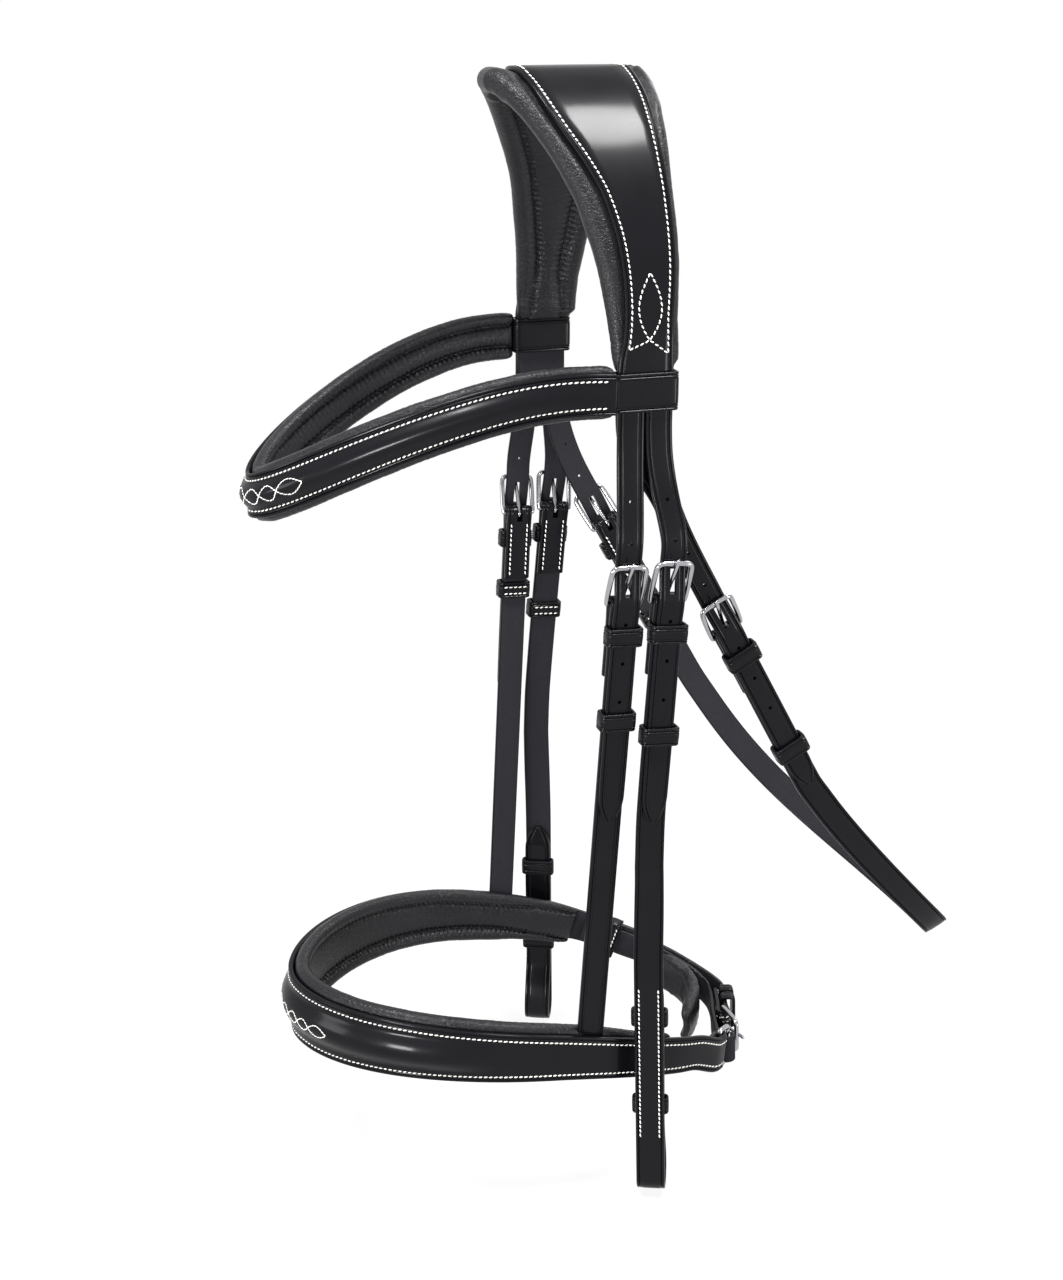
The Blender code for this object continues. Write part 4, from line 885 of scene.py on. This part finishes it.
def threads(node, sewn):
    """Finish a piece's sewing as one mesh, a few stitches at a time."""
    whole_sewing = bmesh.new()
    batch = bpy.data.meshes.new("batch")
    for first in range(0, len(sewn), STITCH_BATCH):
        bm = bmesh.new()
        for place in sewn[first:first + STITCH_BATCH]:
            bmesh.ops.create_uvsphere(bm, u_segments=6, v_segments=4, radius=0.5, matrix=place)
        bm.to_mesh(batch)
        bm.free()
        whole_sewing.from_mesh(batch)
    bpy.data.meshes.remove(batch)
    piece(node + "_stitching", whole_sewing, "thread", NODE_BODY[node], sharp=THREAD_SHARP)


def span(run, low, high, side):
    """Where the outer layer of a side strap lies between two heights."""
    ways = [way for way in np.linspace(0, run.length, SPAN_CUTS)
            if low < run.at(way)[0][2] < high and run.at(way)[2][0] * side > FACING]
    return min(ways), max(ways)


def chape_end(run, node):
    """Which end of a strap is its chape, folded behind its buckle, as the direction into the strap."""
    buckle = np.mean(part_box(BUCKLE_OF[node] + "_buckle_frame"), axis=0)
    gaps = [np.linalg.norm(run.at(way)[0] - buckle) for way in (0, run.length)]
    return (0, 1) if gaps[0] < gaps[1] else (run.length, -1)


def chape_rows(sewn, run, end, into):
    """Rows of stitches that close the folded end of a strap behind its buckle."""
    edge_rows(sewn, run, end + into * CHAPE_START, end + into * CHAPE_STITCHED)


# Pieces
RUNS = {}


def hide(node, run, holes, tuck=0.0):
    """Make a strap's leather along its run, and cut its holes."""
    bm = fresh()
    sweep(bm, run, -tuck, run.length + tuck)
    made = piece(node + "_hide", bm, "leather", NODE_BODY[node], [node])
    pierced(made, [cutter_for(run, rim) for rim in holes])


def strap(node, outward):
    """Make a plain strap's leather from its solid's outline, with its holes."""
    rings, holes = outline(node)
    RUNS[node] = Run(rings, outward)
    hide(node, RUNS[node], holes)


def band(node, centre, tuck=0.0):
    """Make a band with a padded middle from its solid."""
    rings, holes = outline(node)
    run = RUNS[node] = Run(rings, away(centre))
    bm = merged(node)
    spots = spots_of(bm.verts)
    bm.free()
    for k, way in enumerate(run.ways):
        middle, _, out, along, half, thick = run.at(way)
        off = spots - middle
        here = (abs(off @ along) < PLANE_ROOM) & (np.linalg.norm(off, axis=1) < half * BAND_REACH)
        if here.any():
            run.raises[k] = max(0.0, float((off[here] @ out).max()) - thick) * RAISE_LEVEL
    hide(node, run, holes, tuck)


def rounded(node):
    """A copy of a solid with its triangles joined into quads, ready to be subdivided."""
    bm = merged(node)
    bmesh.ops.join_triangles(bm, faces=bm.faces, angle_face_threshold=ROUND_FACE_ANGLE,
                             angle_shape_threshold=ROUND_SHAPE_ANGLE)
    return bm


def subdivided(made, levels):
    """Add a smooth subdivision to a piece."""
    smooth = made.modifiers.new("Smooth", "SUBSURF")
    smooth.levels = smooth.render_levels = levels


def steel(node):
    """A buckle part in polished steel, rounded from its solid."""
    bm = rounded(node)
    bm.normal_update()
    for vert in bm.verts:
        vert.co += vert.normal * STEEL_SWELL
    made = piece(node + "_steel", bm, "steel", NODE_BODY[node], [node], sharp=ALL_SMOOTH)
    subdivided(made, STEEL_LEVELS)


def wrinkle(place, ridges):
    """How far the padding leather moves in or out at a place."""
    broad = noise.noise(place * WRINKLE_SCALES[0]) * WRINKLE_DEPTHS[0]
    fine = abs(noise.noise(place * WRINKLE_SCALES[1] + WRINKLE_SHIFT)) * WRINKLE_DEPTHS[1]
    return broad + fine * ridges


def cushion(node, ridges):
    """Soft padding rounded from its solid, with the wrinkles of gathered leather."""
    made = piece(node + "_cushion", rounded(node), "padding", NODE_BODY[node], [node], sharp=ALL_SMOOTH)
    subdivided(made, CUSHION_LEVELS)
    take(made, applied(made))
    bm = bmesh.new()
    bm.from_mesh(made.data)
    bm.normal_update()
    for vert, normal in [(vert, vert.normal.copy()) for vert in bm.verts]:
        vert.co += normal * wrinkle(vert.co, ridges)
    bm.to_mesh(made.data)
    bm.free()


def pad_sizes(node, run):
    """What a padding solid measures at places along its band: edges, front and roll."""
    bm = merged(node)
    ends = np.array([spots_of(edge.verts) for edge in bm.edges])
    bm.free()
    made = []
    for way in np.linspace(0, run.length, PAD_CUTS):
        middle, across, out, along, half, _ = run.at(way)
        sides = (ends - middle) @ along
        crossing = (sides[:, 0] > 0) != (sides[:, 1] > 0)
        share = sides[crossing, 0] / (sides[crossing, 0] - sides[crossing, 1])
        spots = ends[crossing, 0] + (ends[crossing, 1] - ends[crossing, 0]) * share[:, None] - middle
        spots = spots[np.linalg.norm(spots, axis=1) < half + PAD_REACH]
        if len(spots):
            aside, inward = spots @ across, -(spots @ out)
            made.append((way, aside.min(), aside.max(), inward.min(), (inward.max() - inward.min()) / 2))
    return np.array(made)


def pad_ring(low, high, front, roll, depth):
    """A padding's section: flat on the leather, a roll along each edge, a seam and a soft channel."""
    middle, reach = (low + high) / 2, (high - low) / 2
    flat = [(reach * share, front) for share in FLAT_SHARES] + [(reach - roll * FLAT_END_SHARE, front)]
    flat += [(reach - roll + roll * math.cos(a), front + roll + roll * math.sin(a)) for a in ROLL_ANGLES]
    flat += [(reach - roll * inward, front + roll * up) for inward, up in ROLL_FALL_SHARES]
    seam, inner = reach - roll * SEAM_SHARE, reach - roll * CHANNEL_EDGE_SHARE
    level = front + depth
    flat += [(seam + SEAM_WIDTH, level - SEAM_DEPTH * SEAM_WALL_SHARES[0]), (seam, level - SEAM_DEPTH),
             (seam - SEAM_WIDTH, level - SEAM_DEPTH * SEAM_WALL_SHARES[1]), (inner, level)]
    flat += [(inner * share, level + CHANNEL_CROWN * (1 - share ** 2)) for share in CHANNEL_SHARES]
    back = [(-x, z) for x, z in reversed(flat[1:])]
    return np.array(flat + [(0.0, level + CHANNEL_CROWN)] + back) + (middle, 0), seam


def grown(shares, full):
    """A share on its way from its least value to the whole."""
    least, rest = shares
    return least + rest * full


def gathers(way, aside, seam, seed):
    """How far the padding leather stands in or out, gathered along its seams and lightly creased."""
    near = math.exp(-abs(abs(aside) - seam) / GATHER_SPREAD)
    puff = noise.noise(Vector((way * PUFF_SCALE, seed, 0.0)))
    shift = GATHER_SHIFT if aside > 0 else 0.0
    ribs = math.sin(2 * math.pi * way / GATHER_PITCH + GATHER_DRIFT * puff + shift)
    along, across = FOLD_SCALES
    broad = noise.noise(Vector((way * along, aside * across, seed))) * FOLD_DEPTH
    along, across = CREASE_SCALES
    fine = abs(noise.noise(Vector((way * along, aside * across, seed + CREASE_SEED)))) * CREASE_DEPTH
    return ribs * near * GATHER_DEPTH * grown(GATHER_PUFF, puff) + broad + fine


def padding(node, run, depth, reach, taper, fill, seed, swell):
    """Sweep soft padding along a strap's run from what its solid measures."""
    table = pad_sizes(node, run)
    start, end = table[0, 0] - reach, table[-1, 0] + reach
    count = math.ceil((end - start) / PAD_STEP)
    rings = []
    for way in np.linspace(start, end, count + 1):
        low, high, front, roll = (float(np.interp(way, table[:, 0], table[:, k])) for k in (1, 2, 3, 4))
        poll = max(0.0, 1 - ((way - run.length / 2) / POLL_REACH) ** 2) ** 2 * swell
        low, high = low - poll, high + poll
        left = min(way - start, end - way) / taper
        full = math.sqrt(max(0.0, 1 - (1 - min(left, 1)) ** 2))
        middle, across, out, _, half, _ = run.at(way)
        centre = (low + high) / 2
        wide = (high - low) / 2 * grown(END_WIDTH, full)
        flat, seam = pad_ring(centre - wide, centre + wide, front, roll * grown(END_ROLL, full),
                              depth * grown(END_DEPTH, full))
        normals = np.roll(flat, -1, axis=0) - np.roll(flat, 1, axis=0)
        normals /= np.linalg.norm(normals, axis=1)[:, None]
        lifts = np.array([gathers(way, x - centre, seam, seed) if z > front + PAD_ABOVE else 0.0
                          for x, z in flat])
        past = np.clip((abs(flat[:, 0]) - half) / roll, 0, 1)
        flat[:, 1] -= poll * POLL_RISE * past * past * (3 - 2 * past)
        flat = flat + np.stack((normals[:, 1], -normals[:, 0]), axis=1) * (lifts * full)[:, None]
        rings.append(middle + flat[:, :1] * across - flat[:, 1:] * out)
    bm = bmesh.new()
    wrap(bm, rings)
    made = piece(node + "_cushion", bm, "padding", NODE_BODY[node], [node], sharp=ALL_SMOOTH)


def layers_off(values):
    """How far values are from lying on two levels only."""
    low = values < values.mean()
    return float(np.ptp(values[low]) + np.ptp(values[~low]))


def loop_faces(node):
    """A loop's middle, directions, inner and outer reaches and height, from its solid."""
    bm = merged(node)
    spots = spots_of(bm.verts)
    edges = [np.array(edge.verts[1].co - edge.verts[0].co) for edge in bm.edges]
    bm.free()
    ways = [edge / np.linalg.norm(edge) for edge in edges]
    along = min(ways, key=lambda way: layers_off(spots @ way))
    rims = spots @ along
    ends = [spots[rims < rims.mean()].mean(axis=0), spots[rims > rims.mean()].mean(axis=0)]
    height = float(np.ptp(rims))
    across = max((edge for edge in edges if abs(edge.dot(along)) < LOOP_SQUARE), key=np.linalg.norm)
    across = across / np.linalg.norm(across)
    out = np.cross(along, across)
    centre = (ends[0] + ends[1]) / 2
    walls = []
    for direction in (across, -across, out, -out):
        reach = sorted({round(value, 5) for value in (spots - centre) @ direction if value > 0})
        walls.append((reach[-1], (reach[1] if len(reach) > 2 else reach[0]) + LOOP_ROOM.get(node, 0.0)))
    return centre, along, across, out, height, walls


def loop_threads(node, frame_of, inward):
    """Two short rows of stitches where a runner's ends meet, on the side that faces the horse."""
    centre, along, across, out, height, walls = frame_of
    back = 3 if out.dot(inward(centre[None])[0]) < 0 else 2
    facing = -out if back == 3 else out
    sewn = []
    reach = (walls[0][0] - LOOP_CORNER) * LOOP_ROW_SHARE
    sizes = bpy.context.scene.bridle_sizes
    count = max(2, round(2 * reach / sizes.stitch_pitch))
    for level in (-1, 1):
        for k in range(count):
            ends = [across * (reach * (2 * (k + 0.5) / count - 1) + side * sizes.stitch_length / 2)
                    for side in (-1, 1)]
            base = centre + along * level * height * LOOP_ROW_PLACE + facing * walls[back][0]
            stitch(sewn, base + ends[0], base + ends[1], facing, sizes.stitch_width)
    threads(node, sewn)


def loop(node, inward=None):
    """Bend a creased strip of leather round its straps as a keeper."""
    faces = centre, along, across, out, height, walls = loop_faces(node)
    bm = fresh()
    corners = []
    for k, (wide, tall) in enumerate(((0, 2), (1, 2), (1, 3), (0, 3))):
        middles = [(walls[side][0] + walls[side][1]) / 2 for side in (wide, tall)]
        signs = (1 if wide == 0 else -1, 1 if tall == 2 else -1)
        turn = np.array([signs[axis] * (middles[axis] - LOOP_CORNER) for axis in (0, 1)])
        for step in range(LOOP_TURN_STEPS + 1):
            angle = math.pi / 2 * (k + step / LOOP_TURN_STEPS)
            heading = np.array((math.cos(angle), math.sin(angle)))
            spot = turn + heading * LOOP_CORNER
            wall = sum(heading[axis] ** 2 * (walls[side][0] - walls[side][1])
                       for axis, side in enumerate((wide, tall)))
            corners.append((spot, heading, wall))
    rings = []
    for (spot, heading, wall), (after, _, _) in zip(corners, corners[1:] + corners[:1]):
        parts = max(1, int(np.linalg.norm(after - spot) / LOOP_STEP))
        rings += [(spot + (after - spot) * k / parts, heading, wall) for k in range(parts)]
    skin = []
    for spot, heading, wall in rings:
        flat = section(height / 2, wall / 2)
        way = across * heading[0] + out * heading[1]
        skin.append(centre + across * spot[0] + out * spot[1] + flat[:, :1] * along + flat[:, 1:] * way)
    wrap(bm, skin, closed=True)
    piece(node + "_band", bm, "keeper", NODE_BODY[node], [node])
    if inward:
        loop_threads(node, faces, inward)


def crown_run(rows):
    """The crown's run from loop to loop, and the rows of its four legs."""
    caps = []
    for corner in rows:
        cap = end_of(rows, corner)
        if len(cap) == 4 and cap not in caps:
            caps.append(cap)
    tips = sorted(caps, key=lambda cap: np.mean([rows[corner][1][0][2] for corner in cap]))[:4]
    legs, edges = {}, {}
    for cap in tips:
        lines = [rows[corner][1] for corner in cap]
        short = min(len(line) for line in lines)
        first = np.mean([line[0] for line in lines], axis=0)
        side = "near" if first[0] > 0 else "far"
        legs.setdefault(side, []).append((first[1], cap, lines, short))
    for side in SIDES:
        legs[side] = sorted(legs[side], key=lambda leg: leg[0])
    for place, (_, cap, lines, short) in zip(("front", "rear"), legs["near"]):
        long = [line for line in lines if len(line) > short]
        keep = legs["far"][0 if place == "front" else 1][3]
        edges[place] = sorted((line[short - 1:len(line) - keep + 1] for line in long),
                              key=lambda line: -line[len(line) // 2][2])
    (front_out, front_in), (rear_out, rear_in) = edges["front"], edges["rear"]
    crown = np.array([front_out, rear_out, rear_in, front_in]).transpose(1, 0, 2)
    named = {side + place: in_order(np.array([line[:short] for line in lines]))
             for side in SIDES for place, (_, _, lines, short) in zip(("_front", "_rear"), legs[side])}
    return crown, named


def make_headpiece():
    """Make the crown and its four legs as one piece of leather."""
    rows, holes = rails("headpiece_leather")
    crown_rings, leg_rings = crown_run(rows)
    crown = RUNS["crown"] = Run(crown_rings, away(HEAD_MIDDLE))
    bm = fresh()
    sweep(bm, crown, CROWN_TUCK, crown.length - CROWN_TUCK)
    cutters = []
    for name, rings in leg_rings.items():
        leg = RUNS[name] = Run(rings, sideways(SIDES[name.split("_")[0]]))
        sweep(bm, leg, 0.0, leg.length + LEG_TUCK)
        corners = rings.reshape(-1, 3)
        low, high = corners.min(axis=0) - LEG_ROOM, corners.max(axis=0) + LEG_ROOM
        for rim in holes:
            spot = rim.mean(axis=0)
            inside = (spot > low).all() and (spot < high).all()
            if inside and np.linalg.norm(leg.at(leg.nearest(spot))[0] - spot) < HOLE_ROOM:
                cutters.append(cutter_for(leg, rim))
    node = "headpiece_leather"
    made = piece(node + "_hide", bm, "leather", NODE_BODY[node], [node])
    pierced(made, cutters)


class BRIDLE_OT_stage(Operator):
    """Set the camera, the lamps, the pale floor and the white background"""
    bl_idname = "bridle.stage"
    bl_label = "Stage"

    def execute(self, context):
        scene = context.scene
        scene.view_settings.view_transform = "Standard"
        camera = bpy.data.objects.new("camera", bpy.data.cameras.new("camera"))
        camera.data.lens = CAMERA_LENS
        camera.data.clip_start = CAMERA_CLIP
        forward = Vector((-math.sin(CAMERA_TURN) * math.cos(CAMERA_PITCH),
                          math.cos(CAMERA_TURN) * math.cos(CAMERA_PITCH), -math.sin(CAMERA_PITCH)))
        camera.location = CAMERA_PLACE
        camera.rotation_euler = forward.to_track_quat("-Z", "Y").to_euler()
        scene.collection.objects.link(camera)
        scene.camera = camera
        for name, place, size, watts in LAMPS:
            lamp = bpy.data.lights.new(name, "AREA")
            lamp.size, lamp.energy = size, watts
            held = bpy.data.objects.new(name, lamp)
            held.location = place
            held.rotation_euler = (LAMP_AIM - Vector(place)).to_track_quat("-Z", "Y").to_euler()
            scene.collection.objects.link(held)
        self.background(scene)
        bm = bmesh.new()
        bmesh.ops.create_grid(bm, x_segments=1, y_segments=1, size=FLOOR_REACH,
                              matrix=Matrix.Translation((0, 0, CAD_BOX[0][2] - FLOOR_DROP)))
        mesh = bpy.data.meshes.new("floor")
        bm.to_mesh(mesh)
        bm.free()
        mesh.materials.append(self.floor_paint(scene))
        floor = bpy.data.objects.new("floor", mesh)
        scene.collection.objects.link(floor)
        return {"FINISHED"}

    @staticmethod
    def seen_white(made):
        """1 on the rays that should see the white background."""
        rays = made.add("ShaderNodeLightPath", {}, "Is Camera Ray")
        outputs = rays.socket.node.outputs
        glossy = Value(made.tree, outputs["Is Glossy Ray"])
        return (rays + glossy + Value(made.tree, outputs["Is Transmission Ray"])) > RAY_SEEN

    def background(self, scene):
        """A plain world at a low level, seen as white."""
        scene.world = bpy.data.worlds.new("studio")
        made = Finish(scene.world)
        backdrop = made.tree.nodes["Background"]
        backdrop.inputs["Color"].default_value = (1, 1, 1, 1)
        level = WORLD_LEVEL + self.seen_white(made) * (1 - WORLD_LEVEL)
        plug(made.tree, backdrop.inputs["Strength"], level)

    def floor_paint(self, scene):
        """A pale floor that looks nearly white, and fully white far from the bridle."""
        made = Finish(bpy.data.materials.new("studio_floor"))
        made.shade(Base_Color=tint(scene.bridle_colours.floor), Roughness=0.9)
        white = made.add("ShaderNodeEmission", {}, 0, Color=(1, 1, 1, 1), Strength=1.0)
        far = made.add("ShaderNodeVectorMath", {"operation": "LENGTH"}, "Value", Vector=made.place())
        fade = (far * FLOOR_FADE).maths("MINIMUM", 1.0) * (1 - FLOOR_WHITE) + FLOOR_WHITE
        mixed = made.tree.nodes.new("ShaderNodeMixShader")
        for port, value in zip(mixed.inputs, (self.seen_white(made) * fade, made.shader.outputs[0], white)):
            plug(made.tree, port, value)
        plug(made.tree, made.tree.nodes["Material Output"].inputs["Surface"], mixed.outputs[0])
        return made.held


class BRIDLE_OT_headpiece(Operator):
    """Make the headpiece with its four legs"""
    bl_idname = "bridle.headpiece"
    bl_label = "Headpiece"

    def execute(self, context):
        make_headpiece()
        return {"FINISHED"}


class BRIDLE_OT_browband(Operator):
    """Make the browband with its padded middle"""
    bl_idname = "bridle.browband"
    bl_label = "Browband"

    def execute(self, context):
        band("browband_leather", BROW_MIDDLE, BAND_TUCK)
        return {"FINISHED"}


class BRIDLE_OT_cheekpieces(Operator):
    """Make the cheekpieces, folded round their buckles and bit loops"""
    bl_idname = "bridle.cheekpieces"
    bl_label = "Cheekpieces"

    def execute(self, context):
        for side, sign in SIDES.items():
            strap(side + "_cheekpiece", sideways(sign))
        return {"FINISHED"}


class BRIDLE_OT_noseband(Operator):
    """Make the noseband and its two hangers"""
    bl_idname = "bridle.noseband"
    bl_label = "Noseband"

    def execute(self, context):
        band("noseband_leather", NOSE_MIDDLE)
        for side, sign in SIDES.items():
            strap(side + "_noseband_hanger", sideways(sign))
        return {"FINISHED"}


class BRIDLE_OT_closure(Operator):
    """Make the strap that closes the noseband under the chin"""
    bl_idname = "bridle.closure"
    bl_label = "Chin closure"

    def execute(self, context):
        strap("crank_strap", away(NOSE_MIDDLE))
        return {"FINISHED"}


class BRIDLE_OT_throatlatch(Operator):
    """Make the throatlatch and its two billets"""
    bl_idname = "bridle.throatlatch"
    bl_label = "Throatlatch"

    def execute(self, context):
        strap("throatlatch", away(THROAT_MIDDLE))
        for side, sign in SIDES.items():
            strap(side + "_throatlatch_billet", sideways(sign))
        return {"FINISHED"}


class BRIDLE_OT_keepers(Operator):
    """Make the keepers, runners and browband loops"""
    bl_idname = "bridle.keepers"
    bl_label = "Keepers"

    def execute(self, context):
        for node in sorted(frame["nodes"]):
            if any(word in node for word in LOOP_WORDS):
                side = SIDES.get(node.split("_")[0])
                inward = None
                if node.endswith("_runner"):
                    inward = sideways(-side) if side else lambda middles: -away(NOSE_MIDDLE)(middles)
                loop(node, inward)
        return {"FINISHED"}


class BRIDLE_OT_buckles(Operator):
    """Make the polished buckles, tongues, ring and studs"""
    bl_idname = "bridle.buckles"
    bl_label = "Buckles"

    def execute(self, context):
        for node in sorted(frame["nodes"]):
            if any(word in node for word in STEEL_WORDS):
                steel(node)
        return {"FINISHED"}


class BRIDLE_OT_padding(Operator):
    """Make the soft padding under the headpiece, browband, noseband and chin"""
    bl_idname = "bridle.padding"
    bl_label = "Padding"

    def execute(self, context):
        for node, run, *sizes in PADS:
            padding(node, RUNS[run], *sizes)
        cushion("chin_pad", CHIN_RIDGES)
        return {"FINISHED"}


class BRIDLE_OT_stitching(Operator):
    """Sew the rows of pale stitches on the crown, browband, noseband, cheekpieces, hangers and throatlatch
    """
    bl_idname = "bridle.stitching"
    bl_label = "Stitching"

    def execute(self, context):
        self.crown(RUNS["crown"])
        for node, count, pitch, height, ends in BRAIDS:
            run = RUNS[node]
            sewn = []
            edge_rows(sewn, run, ends, run.length - ends, BAND_INSET)
            front = run.nearest(min((run.at(way)[0] for way in run.ways), key=lambda spot: spot[1]))
            braid(sewn, run, front, count, pitch, height)
            threads(node, sewn)
        for side, sign in SIDES.items():
            for part in ("_cheekpiece", "_noseband_hanger"):
                sewn = []
                run = RUNS[side + part]
                chape_rows(sewn, run, *chape_end(run, side + part))
                if part == "_cheekpiece":
                    low, high = span(run, *BIT_STITCHED, sign)
                    edge_rows(sewn, run, low, high)
                threads(side + part, sewn)
        sewn = []
        run = RUNS["throatlatch"]
        chape_rows(sewn, run, 0, 1)
        chape_rows(sewn, run, run.length, -1)
        threads("throatlatch", sewn)
        return {"FINISHED"}

    @staticmethod
    def crown(run):
        """Rows along the crown's edges that meet at a leaf at each end."""
        sewn = []
        edge_rows(sewn, run, CROWN_ROW_END, run.length - CROWN_ROW_END, CROWN_INSET)
        for end, into in ((0, 1), (run.length, -1)):
            root = end + into * LEAF_ROOT
            leaf(sewn, run, root, into * LEAF_LENGTH, LEAF_WIDTH)
            edge = end + into * CROWN_ROW_END
            for side in (-1, 1):
                sew(sewn, run, [(root, 0), (edge, side * (run.at(edge)[4] - CROWN_INSET))])
        threads("headpiece_leather", sewn)


class BRIDLE_PT_panel(Panel):
    """Lists the bridle's operators and settings"""
    bl_idname = "BRIDLE_PT_panel"
    bl_label = "Bridle"
    bl_space_type = "VIEW_3D"
    bl_region_type = "UI"
    bl_category = "Bridle"

    def draw(self, context):
        for operator in OPERATORS:
            self.layout.operator(operator.bl_idname)
        for group in (context.scene.bridle_sizes, context.scene.bridle_colours):
            for name in group.__annotations__:
                self.layout.prop(group, name)


OPERATORS = (BRIDLE_OT_stage, BRIDLE_OT_headpiece, BRIDLE_OT_browband, BRIDLE_OT_cheekpieces,
             BRIDLE_OT_noseband, BRIDLE_OT_closure, BRIDLE_OT_throatlatch, BRIDLE_OT_keepers,
             BRIDLE_OT_buckles, BRIDLE_OT_padding, BRIDLE_OT_stitching)
CLASSES = (BridleSizes, BridleColours, *OPERATORS, BRIDLE_PT_panel)


def register():
    for made in CLASSES:
        bpy.utils.register_class(made)
    bpy.types.Scene.bridle_sizes = PointerProperty(type=BridleSizes)
    bpy.types.Scene.bridle_colours = PointerProperty(type=BridleColours)


def unregister():
    del bpy.types.Scene.bridle_colours
    del bpy.types.Scene.bridle_sizes
    for made in reversed(CLASSES):
        bpy.utils.unregister_class(made)


def main():
    register()
    for operator in OPERATORS:
        getattr(bpy.ops.bridle, operator.bl_idname.split(".")[1])()


if __name__ == "__main__":
    main()
